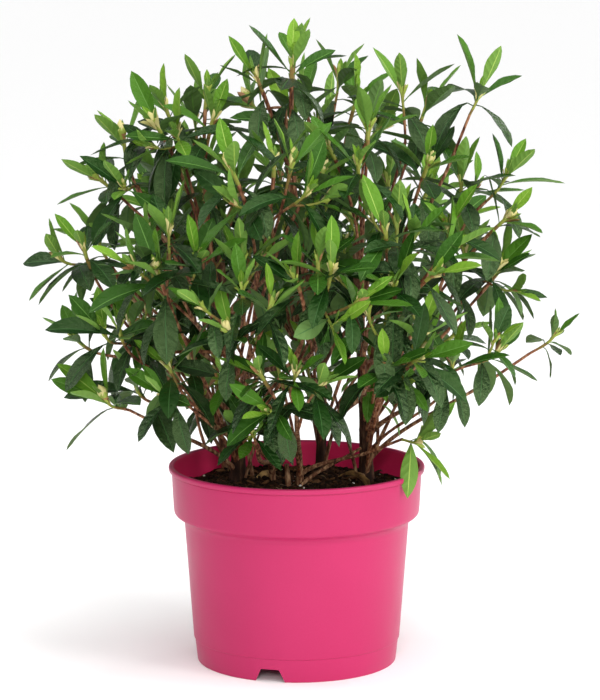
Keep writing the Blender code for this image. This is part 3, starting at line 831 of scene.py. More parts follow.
class Limb:
    """One tapering limb: the ends of its curve, its joints, and its radius at each joint."""

    def __init__(self, ends, bow, points, radii):
        self.ends = ends
        self.bow = bow
        self.points = points
        self.radii = radii
        self.end_aim = ends[3]

    def at(self, fraction):
        """The point, direction and radius a fraction of the way along."""
        place_along = fraction * (len(self.points) - 1)
        index = min(int(place_along), len(self.points) - 2)
        rest = place_along - index
        point = self.points[index].lerp(self.points[index + 1], rest)
        way = (self.points[index + 1] - self.points[index]).normalized()
        radius = self.radii[index] * (1 - rest) + self.radii[index + 1] * rest
        return point, way, radius

    def clears(self, other, skip):
        """True where this limb, past its first points, passes the other with room to spare."""
        for point, radius in list(zip(self.points, self.radii))[skip:]:
            for index in range(len(other.points) - 1):
                start = other.points[index]
                run = other.points[index + 1] - start
                along = max(0.0, min(1.0, (point - start).dot(run) / run.length_squared))
                width = other.radii[index] * (1 - along) + other.radii[index + 1] * along
                apart = (start + run * along - point).length
                if apart < width + radius + LIMB_CLEARANCE:
                    return False
        return True


bowed = curve(Vector(), UP, UP, UP, 8, Vector((0.1, 0.0, 0.0)))
print("a limb bowed by 100 mm swings out", round(max(point.x for point in bowed) * 1000), "mm")


# %% Grow the stems and boughs
def grow_stems():
    """Stems stand upright at the soil, flare there, and lean out as they rise."""
    limbs = {}
    for name, foot, tip, foot_radius, tip_radius in STEMS:
        start = Vector((*foot, SOIL_LEVEL + HAIR))
        end = Vector(tip)
        end_aim = ((end - start).normalized() + UP * 0.6).normalized()
        ends = (start, UP, end, end_aim)
        points = curve(*ends, STEM_STEPS)
        points.insert(1, points[0].lerp(points[1], 0.3))
        radii = []
        for index, point in enumerate(points):
            taper = index / (len(points) - 1)
            flare = 1.0 + FLARE * math.exp((start.z - point.z) / FLARE_HEIGHT)
            radii.append((foot_radius * (1 - taper) + tip_radius * taper) * flare)
        limbs[name] = Limb(ends, Vector(), points, radii)
    return limbs


def grow_boughs(limbs):
    """Each bough bows a little, one way or another, until it passes every limb before it."""
    for name, parent, fraction, middle, reach, shoots in MASSES:
        if fraction == 1.0:
            continue
        middle = Vector(middle)
        end_aim = ((middle - CROWN_HEART).normalized() + UP * 0.25).normalized()
        end = middle - end_aim * (STOP_SHORT + reach * STOP_SHARE)
        for shift in BOUGH_SHIFTS:
            start, way, width = limbs[parent].at(fraction + shift)
            towards = (end - start).normalized()
            ends = (start, (towards + way * 0.5).normalized(), end, end_aim)
            sideways = towards.cross(UP).normalized()
            foot_radius = min(width * 0.75, 0.0020 + 0.0003 * shoots)
            radii = [foot_radius + (BOUGH_TIP_RADIUS - foot_radius) * step / BOUGH_STEPS
                     for step in range(BOUGH_STEPS + 1)]
            trials = [Limb(ends, sideways * bow, curve(*ends, BOUGH_STEPS, sideways * bow), radii)
                      for bow in BOUGH_BOWS]
            clear = [trial for trial in trials
                     if all(trial.clears(other, 2 if key == parent else 0)
                            for key, other in limbs.items())]
            if clear:
                limbs["bough_" + name] = clear[0]
                break


limbs = grow_stems()
grow_boughs(limbs)
spans = [(limb.points[0] - limb.points[-1]).length for limb in limbs.values()]
print("limbs grown:", len(limbs), "with", round(sum(spans), 2), "m of reach")

# %% [markdown]
# ## Bark
#
# Azalea bark is thin, brown and stringy. On old stems it cracks lengthways and lifts in narrow
# flakes, so that the outline itself is rough, and young boughs are smoother and redder. A curve
# with a bevel gives a round tapering tube along any path. The tube is made a mesh, and its skin
# is pushed in and out by noise that is drawn out along the limb: deeper on thicker wood.

# %% Tubes along curves
def tube_mesh(strands, sides, materials=()):
    """One mesh of round tubes with closed ends: each strand is points, radii and a slot."""
    line = bpy.data.curves.new("strands", "CURVE")
    line.dimensions = "3D"
    line.bevel_depth = 1.0
    line.bevel_resolution = (sides - 4) // 2
    line.use_fill_caps = True
    for material in materials:
        line.materials.append(material)
    for points, radii, slot in strands:
        spline = line.splines.new("POLY")
        spline.points.add(len(points) - 1)
        for knot, point, radius in zip(spline.points, points, radii):
            knot.co = (*point, 1.0)
            knot.radius = radius
        spline.material_index = slot
        spline.use_smooth = True
    holder = bpy.data.objects.new("strands", line)
    bpy.context.scene.collection.objects.link(holder)
    bpy.context.view_layer.update()
    mesh = bpy.data.meshes.new_from_object(holder)
    bpy.data.objects.remove(holder)
    bpy.data.curves.remove(line)
    return mesh


def tubes(strands, sides, materials=()):
    """The same tubes as a bmesh, with their caps joined to their walls."""
    mesh = tube_mesh(strands, sides, materials)
    bm = bmesh.new()
    bm.from_mesh(mesh)
    bpy.data.meshes.remove(mesh)
    merge(bm)
    return bm


trial_tube = tubes([([Vector(), UP, UP * 2], [1, 1, 1], 0)], 8)
print("a tube of 8 sides and 3 joints has", len(trial_tube.faces), "faces")
trial_tube.free()

# %% Rings of a limb
RING_SPACING = 0.0026
FEWEST_RINGS = 12
COLLAR_SWELL = 0.4         # how much a bough swells where it leaves its stem
COLLAR_REACH = 0.006
UNDER_SOIL = 0.010         # how far a stem runs down into the mix
UNDER_SOIL_SWELL = 1.05


def drawn(limb, foot_radius, tip_radius, is_stem):
    """A limb's points and radii at close spacing, with its root flare or its collar."""
    length = (limb.points[-1] - limb.points[0]).length
    points = curve(*limb.ends, max(FEWEST_RINGS, int(length / RING_SPACING)), limb.bow)
    radii = []
    for index, point in enumerate(points):
        taper = index / (len(points) - 1)
        radius = foot_radius * (1 - taper) + tip_radius * taper
        if is_stem:
            radius *= 1.0 + FLARE * math.exp((points[0].z - point.z) / FLARE_HEIGHT)
        else:
            radius *= 1.0 + COLLAR_SWELL * math.exp(-(point - points[0]).length / COLLAR_REACH)
        radii.append(radius)
    if is_stem:
        points.insert(0, points[0] - UP * UNDER_SOIL)
        radii.insert(0, radii[0] * UNDER_SOIL_SWELL)
    return points, radii


print("the left stem has", len(drawn(limbs["stem_left"], 0.006, 0.003, True)[0]), "rings")

# %% Bark finishes
PAINTED_SHADE_FOOT = 0.17           # below this height the bark is darkened most by painted shade
PAINTED_SHADE_TOP = 0.30            # and above this one the painted shade is gone


def bark():
    """Old bark: pale flakes over dark cracks, with painted shade that darkens it towards the soil."""
    finish = Finish("bark", display(96, 66, 50), 0.85, Specular_IOR_Level=0.25)
    strips = finish.cloud(260.0, 5.0, 0.65, (1.0, 1.0, 0.16))
    patches = finish.cloud(70.0, 3.0, 0.6)
    colour = finish.ramp(strips, [(0.34, display(34, 20, 13)), (0.46, display(74, 47, 33)),
                                  (0.55, display(108, 76, 56)), (0.66, display(168, 138, 108))])
    height = finish.node("ShaderNodeSeparateXYZ", {}, {"Vector": finish.place()}, 2)
    # Painted shade: the bark's colour is darkened low on the stems, where the crown shades them.
    painted_shade = finish.ramp(height, [(PAINTED_SHADE_FOOT, display(150, 140, 134)), (PAINTED_SHADE_TOP, (1.0, 1.0, 1.0))])
    warm = finish.mix(patches * 0.5, colour, display(92, 52, 34))
    shaded = finish.node("ShaderNodeMix", {"data_type": "RGBA", "blend_type": "MULTIPLY"},
                         {0: 1.0, 6: warm, 7: painted_shade}, 2)
    finish.set("Base Color", shaded)
    finish.relief(strips + finish.cloud(700.0, 4.0, 0.7) * 0.5, 0.8, 0.0008)
    return finish.material


def young_bark():
    """Smoother and redder, with the same strips drawn finer."""
    finish = Finish("young_bark", display(108, 62, 44), 0.7, Specular_IOR_Level=0.25)
    strips = finish.cloud(320.0, 4.0, 0.6, (1.0, 1.0, 0.2))
    colour = finish.ramp(strips, [(0.34, display(56, 30, 20)), (0.48, display(106, 66, 44)),
                                  (0.64, display(180, 142, 106))])
    finish.set("Base Color", colour)
    finish.relief(strips, 0.6, 0.0005)
    return finish.material


bark_finishes = [bark(), young_bark()]
print("bark finishes:", [material.name for material in bark_finishes])


# %% Rough skin
def roughen(bm, depth, way):
    """Push a limb's skin in and out: long cracks along the limb, and a few broad knuckles."""
    bm.normal_update()
    for vert in bm.verts:
        along = vert.co.dot(way)
        across = vert.co - way * along
        spot = across * 420 + way * (along * 60)
        cracks = 1.0 - 2.0 * abs(noise.noise(spot))
        flakes = noise.fractal(vert.co * 300, 0.9, 2.1, 3)
        knuckles = noise.noise(vert.co * 75)
        vert.co += vert.normal * depth * (0.45 * cracks + 0.45 * flakes + 0.9 * knuckles)


def add_wood(whole, strands, sides, depth, way, slot):
    """Draw tubes, roughen their skin and add them to the wood drawn so far."""
    bm = tubes(strands, sides)
    roughen(bm, depth, way)
    for face in bm.faces:
        face.material_index = slot
    mesh = bpy.data.meshes.new("wood")
    bm.to_mesh(mesh)
    bm.free()
    whole.from_mesh(mesh)
    bpy.data.meshes.remove(mesh)


trial_tube = tubes([([Vector(), UP, UP * 2], [1, 1, 1], 0)], 8)
roughen(trial_tube, 0.1, UP)
widest = max(abs(vert.co.x) for vert in trial_tube.verts)
print("a rough tube of radius 1 reaches", round(widest, 3), "from its middle")
trial_tube.free()

# %% Small wood
SMALL_STEPS = 14
SMALL_DEPTH = 0.00018
# Start, end, foot radius, tip radius: a pruned stub, a low slanting branch and dead side twigs
SMALL_WOOD = [
    ((-0.007, 0.002, 0.150), (-0.009, 0.000, 0.178), 0.0026, 0.0024),
    ((0.000, 0.000, 0.154), (0.058, 0.004, 0.192), 0.0019, 0.0013),
    ((-0.048, 0.030, 0.152), (-0.031, 0.012, 0.212), 0.0014, 0.0009),
    ((0.062, 0.024, 0.160), (0.090, -0.006, 0.236), 0.0020, 0.0013),
    ((0.056, 0.030, 0.154), (0.034, 0.010, 0.240), 0.0017, 0.0011),
    ((-0.056, 0.036, 0.158), (-0.092, 0.020, 0.226), 0.0019, 0.0012),
    ((0.024, 0.070, 0.154), (0.048, 0.050, 0.250), 0.0018, 0.0012),
    ((-0.040, 0.052, 0.154), (-0.060, 0.060, 0.240), 0.0018, 0.0012),
]


def small_wood():
    strands = []
    for start, end, foot_radius, tip_radius in SMALL_WOOD:
        start = Vector(start)
        end = Vector(end)
        lean = (end - start).normalized()
        points = curve(start, (lean + UP * 0.5).normalized(), end, lean, SMALL_STEPS)
        radii = [foot_radius + (tip_radius - foot_radius) * step / SMALL_STEPS
                 for step in range(SMALL_STEPS + 1)]
        strands.append((points, radii, 0))
    return strands


print("pieces of small wood:", len(small_wood()))

# %% Barked limbs
STEM_SIDES = 18
BOUGH_SIDES = 12
OLD_WOOD = 0.004           # a limb thicker than this at its foot has old bark
BARK_DEPTH = 0.085         # relief, as a share of the limb's radius
BOUGH_GAUGE = 0.85         # boughs are drawn a little finer than the solids
BOUGH_END = 0.0014
LIMB_SHARP_ANGLE = 80


def make_limbs():
    whole = bmesh.new()
    radii_of = {row[0]: (row[3], row[4]) for row in STEMS}
    for name, limb in limbs.items():
        foot_radius, tip_radius = radii_of.get(name, (limb.radii[0] * BOUGH_GAUGE, BOUGH_END))
        points, radii = drawn(limb, foot_radius, tip_radius, name in radii_of)
        is_old = foot_radius > OLD_WOOD
        add_wood(whole, [(points, radii, 0)], STEM_SIDES if is_old else BOUGH_SIDES,
                 foot_radius * BARK_DEPTH, (points[-1] - points[0]).normalized(), 0 if is_old else 1)
    add_wood(whole, small_wood(), BOUGH_SIDES, SMALL_DEPTH, UP, 1)
    return finished("barked_limbs", whole, bark_finishes, LIMB_SHARP_ANGLE)


barked = make_limbs()
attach(barked, "root")
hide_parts(*limbs)
print("limbs:", len(barked.data.polygons), "faces")

# %% [markdown]
# ## Shoots
#
# An azalea's new wood ends in short shoots, and every shoot ends in a rosette of leaves. The
# shoots of one mass spread from the end of its bough like the ribs of a half-open umbrella, each
# a golden angle on from the last. The solid model drew a few of them with broad leaves. Here the
# same rule is carried further: more shoots within the same reach, many of which start low on
# the stem, side shoots on them, and a few shoots in the shade inside the crown. Tips that matter
# to the outline are named first.

# %% Shoot tips that shape the outline
# Mass of foliage, and where in metres its named shoots end
MARKED_TIPS = {
    "left_tip": [(-0.167, -0.050, 0.245)],
    "left_middle": [(-0.209, -0.020, 0.368), (-0.186, -0.050, 0.382)],
    "left_low": [(-0.167, -0.070, 0.309), (-0.197, -0.020, 0.298), (-0.153, -0.090, 0.317)],
    "left_high": [(-0.150, -0.050, 0.435), (-0.153, 0.000, 0.470)],
    "top_left": [(-0.104, -0.050, 0.479), (-0.079, 0.000, 0.512)],
    "top_middle": [(-0.040, 0.020, 0.500), (-0.004, -0.030, 0.539)],
    "upper_front": [(0.062, -0.030, 0.492), (0.052, -0.110, 0.461)],
    "top_right": [(0.093, 0.000, 0.513), (0.114, -0.040, 0.451)],
    "top_right_tip": [(0.159, -0.030, 0.513)],
    "right_high": [(0.184, -0.020, 0.441), (0.130, -0.080, 0.402), (0.145, -0.010, 0.437)],
    "right_middle": [(0.175, -0.030, 0.359)],
    "right_low": [(0.175, -0.075, 0.294), (0.134, -0.100, 0.290)],
    "right_tip": [(0.228, -0.020, 0.299)],
    "low_right": [(0.107, -0.040, 0.207)],
    "left_front": [(-0.109, -0.110, 0.403), (-0.118, -0.120, 0.369)],
    "top_front": [(-0.051, -0.130, 0.428), (-0.019, -0.090, 0.459), (-0.004, -0.130, 0.463)],
    "front_left": [(-0.045, -0.130, 0.379), (-0.021, -0.165, 0.349), (-0.057, -0.160, 0.324)],
    "left_front_low": [(-0.113, -0.100, 0.259)],
    "low_middle": [(-0.038, -0.100, 0.224)],
    "low_front": [(-0.001, -0.160, 0.288)],
    "front": [(0.032, -0.170, 0.331), (0.018, -0.150, 0.386)],
    "right_front_low": [(0.060, -0.160, 0.339), (0.105, -0.140, 0.320), (0.075, -0.160, 0.296)],
    "right_front_high": [(0.099, -0.130, 0.401), (0.081, -0.150, 0.363)],
}
print("marked tips:", sum(len(tips) for tips in MARKED_TIPS.values()))

# %% A shoot
class Shoot:
    """A leafy shoot: a path with radii, the mass it is in, and how strongly it grew."""

    def __init__(self, mass, points, radii, vigour, main):
        self.mass = mass
        self.points = points
        self.radii = radii
        self.vigour = vigour
        self.main = main
        steps = [(b - a).length for a, b in zip(points, points[1:])]
        self.travelled = np.concatenate([[0.0], np.cumsum(steps)])
        self.length = float(self.travelled[-1])

    def below(self, distance):
        """The point, direction and radius at a distance back from the tip."""
        wanted = max(0.0, self.length - distance)
        index = int(np.searchsorted(self.travelled, wanted, side="right")) - 1
        index = min(max(index, 0), len(self.points) - 2)
        run = self.points[index + 1] - self.points[index]
        rest = (wanted - self.travelled[index]) / max(run.length, 0.00001)
        point = self.points[index] + run * rest
        radius = self.radii[index] * (1 - rest) + self.radii[index + 1] * rest
        return point, run.normalized(), radius


def around(way, turn):
    """The direction square to another, at a turn about it."""
    side = way.orthogonal().normalized()
    return side * math.cos(turn) + way.cross(side) * math.sin(turn)


trial_shoot = Shoot("none", [Vector(), UP], [0.001, 0.001], 1.0, True)
print("a quarter of the way down a straight shoot is", trial_shoot.below(0.25)[0].z, "of its length")

# %% Where shoots end
GOLDEN = math.radians(137.5)
WIDEST = math.radians(92)  # how far the outermost shoots of a mass lean from its middle
# How many shoots a mass carries, where the rule's own number would be too many or too few
SHOOTS = {
    "top_left": 6, "upper_front": 4, "top_back": 6, "low_front": 5, "low_middle": 2,
    "top_middle": 4, "top_right": 3, "right_high": 4, "right_middle": 3, "right_low": 2,
    "low_right": 1, "right_front_high": 6, "right_front_low": 6, "front": 5, "top_front": 6,
    "front_left": 5, "left_front": 5, "left_high": 3, "left_low": 3, "left_tip": 2,
    "left_front_low": 2, "rear_middle": 10, "rear_left_low": 5, "rear_right_low": 5,
    "rear_left_high": 7, "rear_right_high": 4,
}
TIP_SPACING = 0.021
EDGE_MARGIN = 0.016        # shoot tips stay this far inside the solid model's box
LOWEST_TIP = 0.195


def is_free(tip, tips, spacing):
    """True where a tip is well inside the solid model's box and clear of the other tips."""
    low, high = solid_box
    inside = all(low[axis] + EDGE_MARGIN < tip[axis] < high[axis] - EDGE_MARGIN for axis in range(3))
    return inside and tip.z > LOWEST_TIP and is_spaced(tip, tips, spacing)


def is_spaced(tip, tips, spacing):
    return all((tip - other).length > spacing for other in tips)


def tips_of(row, aim, heart, tips, dice):
    """Where the shoots of one mass end and which way they point there."""
    name, _, _, _, reach, shoots = row
    wanted = max(SHOOTS.get(name, shoots), len(MARKED_TIPS.get(name, [])))
    ends = []
    for place in MARKED_TIPS.get(name, []):
        tip = Vector(place)
        ends.append((tip, ((tip - heart).normalized() * 0.6 + UP * 0.8).normalized()))
        tips.append(tip)
    for trial in range(wanted * 4):
        if len(ends) >= wanted:
            break
        wide = WIDEST * math.sqrt((trial % wanted + 0.15) / wanted) * dice.uniform(0.8, 1.1)
        out = around(aim, trial * GOLDEN + dice.uniform(-0.3, 0.3))
        way = aim * math.cos(wide) + out * math.sin(wide)
        tip = heart + way * reach * dice.uniform(0.9, 1.15) * (1.0 if trial < wanted else 0.8)
        if is_free(tip, tips, TIP_SPACING):
            ends.append((tip, (way + UP * 0.5 + aim * 0.3).normalized()))
            tips.append(tip)
    return ends


print("shoot tips keep", EDGE_MARGIN * 1000, "mm inside the solid model's box")

# %% Shoots inside the crown
INNER_COUNT = 22           # shoots in the shade between the front of the crown and its back
INNER_MIDDLE = Vector((0.0, 0.060, 0.355))
INNER_REACH = (0.125, 0.060, 0.105)
INNER_SPACING = 0.032
INNER_RISE = 0.09
INNER_SHORTEST = 0.03
INNER_STEPS = 12


def foot_below(tip):
    """The place on a limb from which an inner shoot would rise to this tip."""
    wanted = tip - UP * INNER_RISE
    places = [limb.at(step / 10) for limb in limbs.values() for step in range(1, 10)]
    return min(places, key=lambda place: (place[0] - wanted).length)


def inner_shoots(tips, dice):
    """Shoots within the crown, between the masses at its front and those at its back."""
    grown = []
    for _ in range(INNER_COUNT * 20):
        spread = [dice.uniform(-1, 1) * reach for reach in INNER_REACH]
        tip = INNER_MIDDLE + Vector(spread)
        if len(grown) == INNER_COUNT:
            break
        if not is_spaced(tip, tips, INNER_SPACING):
            continue
        start, rise, _ = foot_below(tip)
        if tip.z - start.z < INNER_SHORTEST:
            continue
        mass = min(MASSES, key=lambda row: (Vector(row[3]) - tip).length)[0]
        run = (tip - start).normalized()
        start_aim = (run + rise * 0.4).normalized()
        points = curve(start, start_aim, tip, (run + UP).normalized(), INNER_STEPS)
        radii = [0.0015 - 0.0003 * step / INNER_STEPS for step in range(INNER_STEPS + 1)]
        grown.append(Shoot(mass, points, radii, dice.uniform(0.85, 1.05), True))
        tips.append(tip)
    return grown


print("inner shoots grow round", [round(x, 3) for x in INNER_MIDDLE])

# %% Shoots of every mass
TIP_RADIUS = 0.0012
TIP_SWELL = 0.0007         # old leaf bases thicken a shoot just below its rosette
SHOOT_STEPS = 20
SWELL_STEPS = 4            # it thickens over these last steps


def foot_of(number, ends, limb, parent, root, heart, dice):
    """Where a shoot starts and which way: low on the stem, along the bough or in the mass."""
    if number % 2:
        return limbs[parent].at(dice.uniform(0.06, 0.55))[:2]
    if number % 4 == 2:
        return limb.at(dice.uniform(0.35, 0.85))[:2]
    return root.lerp(heart, 0.35 + 0.6 * (1 - number / len(ends))), limb.end_aim


def shoot_radii(length):
    """A longer shoot is thicker at its foot, and every one thickens under its rosette."""
    foot = 0.0011 + 0.0024 * min(length, 0.25)
    steady = SHOOT_STEPS - SWELL_STEPS
    return [foot + (TIP_RADIUS - foot) * step / SHOOT_STEPS
            + TIP_SWELL * max(0, step - steady) / SWELL_STEPS for step in range(SHOOT_STEPS + 1)]


def main_shoots(tips, dice):
    """The shoots of every mass, and the short stem that carries each mass."""
    shoots = []
    stems = []
    for row in MASSES:
        name, parent, fraction, middle, reach, _ = row
        limb = limbs[parent] if fraction == 1.0 else limbs["bough_" + name]
        aim = limb.end_aim
        root = limb.points[-1]
        heart = Vector(middle) - aim * reach * 0.55
        stems.append((curve(root - aim * 0.001, aim, heart, aim, 6),
                      [BOUGH_END * (1 - 0.02 * step) for step in range(7)], 0))
        ends = tips_of(row, aim, heart, tips, dice)
        for number, (tip, tip_aim) in enumerate(ends):
            start, rise = foot_of(number, ends, limb, parent, root, heart, dice)
            start_aim = ((tip - start).normalized() + rise * 0.4).normalized()
            points = curve(start, start_aim, tip, tip_aim, SHOOT_STEPS)
            radii = shoot_radii((tip - start).length)
            shoots.append(Shoot(name, points, radii, dice.uniform(0.88, 1.12), True))
    return shoots, stems


shoot_dice = random.Random(23)
tips = []
shoots, mass_stems = main_shoots(tips, shoot_dice)
longest = max(shoot.length for shoot in shoots)
print("main shoots:", len(shoots), "the longest", round(longest, 3), "m")

# %% Side shoots
SIDE_CHANCE = 0.33
SIDE_TRIES = 6
SIDE_SPACING = 0.018
SIDE_REACH = (0.024, 0.040)
SIDE_STEPS = 9
SHORTEST_PARENT = 0.035    # a shorter shoot carries no side shoot


def side_shoots(parents, tips, dice):
    """Some shoots fork once: a short side shoot leaves them about half way up."""
    grown = []
    for parent in parents:
        if dice.random() > SIDE_CHANCE or parent.length < SHORTEST_PARENT:
            continue
        point, way, _ = parent.below(parent.length * dice.uniform(0.3, 0.6))
        for _ in range(SIDE_TRIES):
            side = around(way, dice.uniform(0, math.tau))
            run = (way * 0.8 + side * 0.9 + UP * 0.3).normalized()
            tip = point + run * dice.uniform(*SIDE_REACH)
            if is_free(tip, tips, SIDE_SPACING):
                end_aim = (run + UP * 0.5).normalized()
                points = curve(point, (way + side).normalized(), tip, end_aim, SIDE_STEPS)
                radii = [0.0011 - 0.0001 * step / SIDE_STEPS
                         + (0.0002 if step > SIDE_STEPS - 2 else 0) for step in range(SIDE_STEPS + 1)]
                grown.append(Shoot(parent.mass, points, radii, dice.uniform(0.75, 0.95), False))
                tips.append(tip)
                break
    return grown


shoots += inner_shoots(tips, shoot_dice)
shoots += side_shoots(list(shoots), tips, shoot_dice)
print("shoots:", len(shoots), "of them side shoots:", sum(not shoot.main for shoot in shoots))

# %% [markdown]
# ## Twigs
#
# A shoot is green for its last centimetre or two, where this year's wood is still soft, and red
# brown below that, with a short stretch between where it is turning. Old leaf scars make it
# slightly knotted. The parts are drawn as tubes end to end along one path, each in one finish.

# %% Twigs
GREEN_LENGTH = (0.012, 0.024)
GREEN_SHARE = 0.6          # of a side shoot
TURNING_LENGTH = 0.009
TWIG_TIP = 0.0015          # how far the wood runs on into the bud
TWIG_SIDES = 8
SOFT_SHARP_ANGLE = 60


def twig_finishes():
    brown = Finish("brown_twig", display(104, 58, 40), 0.6, Specular_IOR_Level=0.25)
    strips = brown.cloud(300.0, 3.0, 0.6, (1.0, 1.0, 0.3))
    colour = brown.ramp(strips, [(0.36, display(72, 38, 24)), (0.48, display(118, 68, 44)),
                                 (0.64, display(176, 128, 92))])
    brown.set("Base Color", colour)
    brown.relief(strips, 0.5, 0.0003)
    green = Finish("green_twig", display(134, 146, 60), 0.5, Specular_IOR_Level=0.25)
    tone = green.cloud(120.0, 2.0)
    green.set("Base Color", green.mix(tone, display(118, 144, 52), display(150, 138, 66)))
    turning = Finish("turning_twig", display(124, 100, 52), 0.55, Specular_IOR_Level=0.25)
    tone = turning.cloud(300.0, 2.0)
    turning.set("Base Color", turning.mix(tone, display(132, 122, 56), display(114, 74, 46)))
    for soft in (turning, green):
        soft.relief(soft.cloud(420.0, 3.0, 0.6), 0.6, 0.0004)
    return [brown.material, turning.material, green.material]


def knotted(radii, dice):
    return [radius * dice.uniform(0.94, 1.12) for radius in radii]


def make_twigs():
    dice = random.Random(31)
    strands = list(mass_stems)
    for shoot in shoots:
        green = dice.uniform(*GREEN_LENGTH) if shoot.main else GREEN_SHARE * shoot.length
        tip = shoot.points[-1] + (shoot.points[-1] - shoot.points[-2]).normalized() * TWIG_TIP
        points = shoot.points + [tip]
        radii = knotted(shoot.radii, dice) + [shoot.radii[-1] * 0.5]
        soft = [int(np.searchsorted(shoot.travelled, shoot.length - reach))
                for reach in (green + TURNING_LENGTH, green)]
        cuts = [0, soft[0], min(max(soft[1], 1), len(points) - 2), len(points) - 1]
        for slot, (first, last) in enumerate(zip(cuts, cuts[1:])):
            if last > first:
                strands.append((points[first:last + 1], radii[first:last + 1], slot))
    materials = twig_finishes()
    return finished("twigs", tubes(strands, TWIG_SIDES, materials), materials, SOFT_SHARP_ANGLE)


twigs = make_twigs()
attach(twigs, "root")
print("twigs:", len(twigs.data.polygons), "faces")

# %% [markdown]
# ## One leaf
#
# An azalea leaf is an ellipse, widest a little past its middle, with a short stalk and a blunt
# tip. It is folded along a pale midrib and its margin turns down. The blank is two flat grids
# drawn in to that outline and joined along the margin, with the lower one bulging down a
# little, so that the leaf is a closed lens in section. Faces along the middle are the midrib
# and those below are the paler underside. A smaller blank does for the youngest leaves and
# the scales of buds.

# %% Leaf blanks
LEAF_LENGTH = 0.0525
LEAF_HALF_WIDTH = 0.0081
LEAF_THICKNESS = 0.0006
MARGIN_DROP = 0.0005       # how far the margin turns down
KEEL = 0.0003              # and how far the midrib sinks
STALK_SHARE = 0.10
STALK_WIDTH = 0.09         # half width of the stalk as a share of the blade's
RIB_SHARE = 0.045
RIB_TOUCH = 0.00002        # a face whose middle is this near the axis is the midrib
LEAF_MERGE = 0.00003
BLADE, RIB, UNDER = range(3)


def half_width(along):
    """Share of the greatest half width at a share of the length."""
    if along <= STALK_SHARE:
        return STALK_WIDTH
    t = (along - STALK_SHARE) / (1 - STALK_SHARE)
    return max(STALK_WIDTH * (1 - t), math.sin(math.pi * t**1.24) ** 0.84 if t < 1 else 0.0)


def leaf_side(bm, columns, rows, is_upper):
    """One side of a leaf lying along +Y from its stalk."""
    count = len(columns) - 1
    made = bmesh.ops.create_grid(bm, x_segments=count, y_segments=rows, size=1.0)["verts"]
    for vert in made:
        share = columns[round((vert.co.x + 1) / 2 * count)]
        along = round((vert.co.y + 1) / 2 * rows) / rows
        width = half_width(along)
        margin = -MARGIN_DROP * abs(share) ** 3 * width
        keel = -KEEL * min(1.0, width * 3) if abs(share) < 0.2 else 0.0
        depth = 0.0 if is_upper or abs(share) > 0.99 else LEAF_THICKNESS * min(1.0, (1 - along) * 9)
        vert.co = Vector((share * width * LEAF_HALF_WIDTH, along * LEAF_LENGTH, margin + keel - depth))
    for face in {face for vert in made for face in vert.link_faces}:
        middle = face.calc_center_median()
        stalk = middle.y < LEAF_LENGTH * STALK_SHARE
        rib = abs(middle.x) < RIB_TOUCH
        face.material_index = RIB if stalk or rib else (BLADE if is_upper else UNDER)


def leaf_blank(columns, rows):
    """A closed leaf with its upper side up."""
    bm = bmesh.new()
    leaf_side(bm, columns, rows, True)
    leaf_side(bm, (-1, -RIB_SHARE * 1.4, RIB_SHARE * 1.4, 1), rows, False)
    bmesh.ops.remove_doubles(bm, verts=bm.verts, dist=LEAF_MERGE)
    bmesh.ops.holes_fill(bm, edges=[edge for edge in bm.edges if edge.is_boundary], sides=0)
    bmesh.ops.recalc_face_normals(bm, faces=bm.faces)
    blank = Blank(bm, lambda face: face.material_index)
    blank.corners /= (LEAF_HALF_WIDTH, LEAF_LENGTH, 1.0)
    return blank


full_leaf = leaf_blank((-1, -0.55, -RIB_SHARE, RIB_SHARE, 0.55, 1), 9)
small_leaf = leaf_blank((-1, -RIB_SHARE * 1.6, RIB_SHARE * 1.6, 1), 6)
print("leaf blanks:", len(full_leaf.triangles), "and", len(small_leaf.triangles), "triangles,",
      "upper", int((full_leaf.slots == BLADE).sum()), "under", int((full_leaf.slots == UNDER).sum()))

# %% [markdown]
# ## How a leaf hangs
#
# Leaves near the tip of a shoot stand up, those lower on it spread, and the oldest hang down
# from a stalk bent like a swan's neck. So a leaf is the blank laid along a curved midrib: the
# stalk bends first and quickly, then the blade bends slowly over its length. The fold along the
# midrib, a twist from end to end and a wave in the margin keep any two leaves from matching.

# %% Bend a leaf
BEND_STEPS = 24
KNEE_SHARE = 0.22          # the stalk's bend is over this far along
RIPPLES = 15.0             # how fast the margin's wave runs, in radians over the length
LEAST_BEND = math.radians(10)    # a leaf that bends less keeps the upper side it starts with


def bent(blank, base, way, face, length, width, bends, fold, twist, wave, phase):
    """A leaf's corners, from its base, first direction, upper side, sizes and bends."""
    side_share = blank.corners[:, 0]
    along = blank.corners[:, 1]
    steps = np.linspace(0.0, 1.0, BEND_STEPS + 1)
    knee = np.clip(steps / KNEE_SHARE, 0.0, 1.0)
    angle = bends[0] * knee * knee * (3 - 2 * knee) + bends[1] * steps**1.25
    between = (angle[1:] + angle[:-1]) / 2
    run = np.concatenate([[0.0], np.cumsum(np.cos(between)) / BEND_STEPS]) * length
    drop = np.concatenate([[0.0], np.cumsum(np.sin(between)) / BEND_STEPS]) * length
    forward = np.array(way)
    upward = np.array(face)
    across = np.cross(forward, upward)
    turn = np.interp(along, steps, angle)[:, None]
    normal = upward * np.cos(turn) + forward * np.sin(turn)
    roll = (twist * along)[:, None]
    lateral = across * np.cos(roll) + normal * np.sin(roll)
    lift = normal * np.cos(roll) - across * np.sin(roll)
    beat = np.sin(along * RIPPLES + phase + np.sign(side_share) * 1.3)
    ripple = wave * np.abs(side_share) ** 2 * beat
    height = np.abs(side_share) * width * math.sin(fold) + blank.corners[:, 2] + ripple
    midrib = (np.array(base) + forward * np.interp(along, steps, run)[:, None]
              - upward * np.interp(along, steps, drop)[:, None])
    return midrib + lateral * (side_share * width * math.cos(fold))[:, None] + lift * height[:, None]


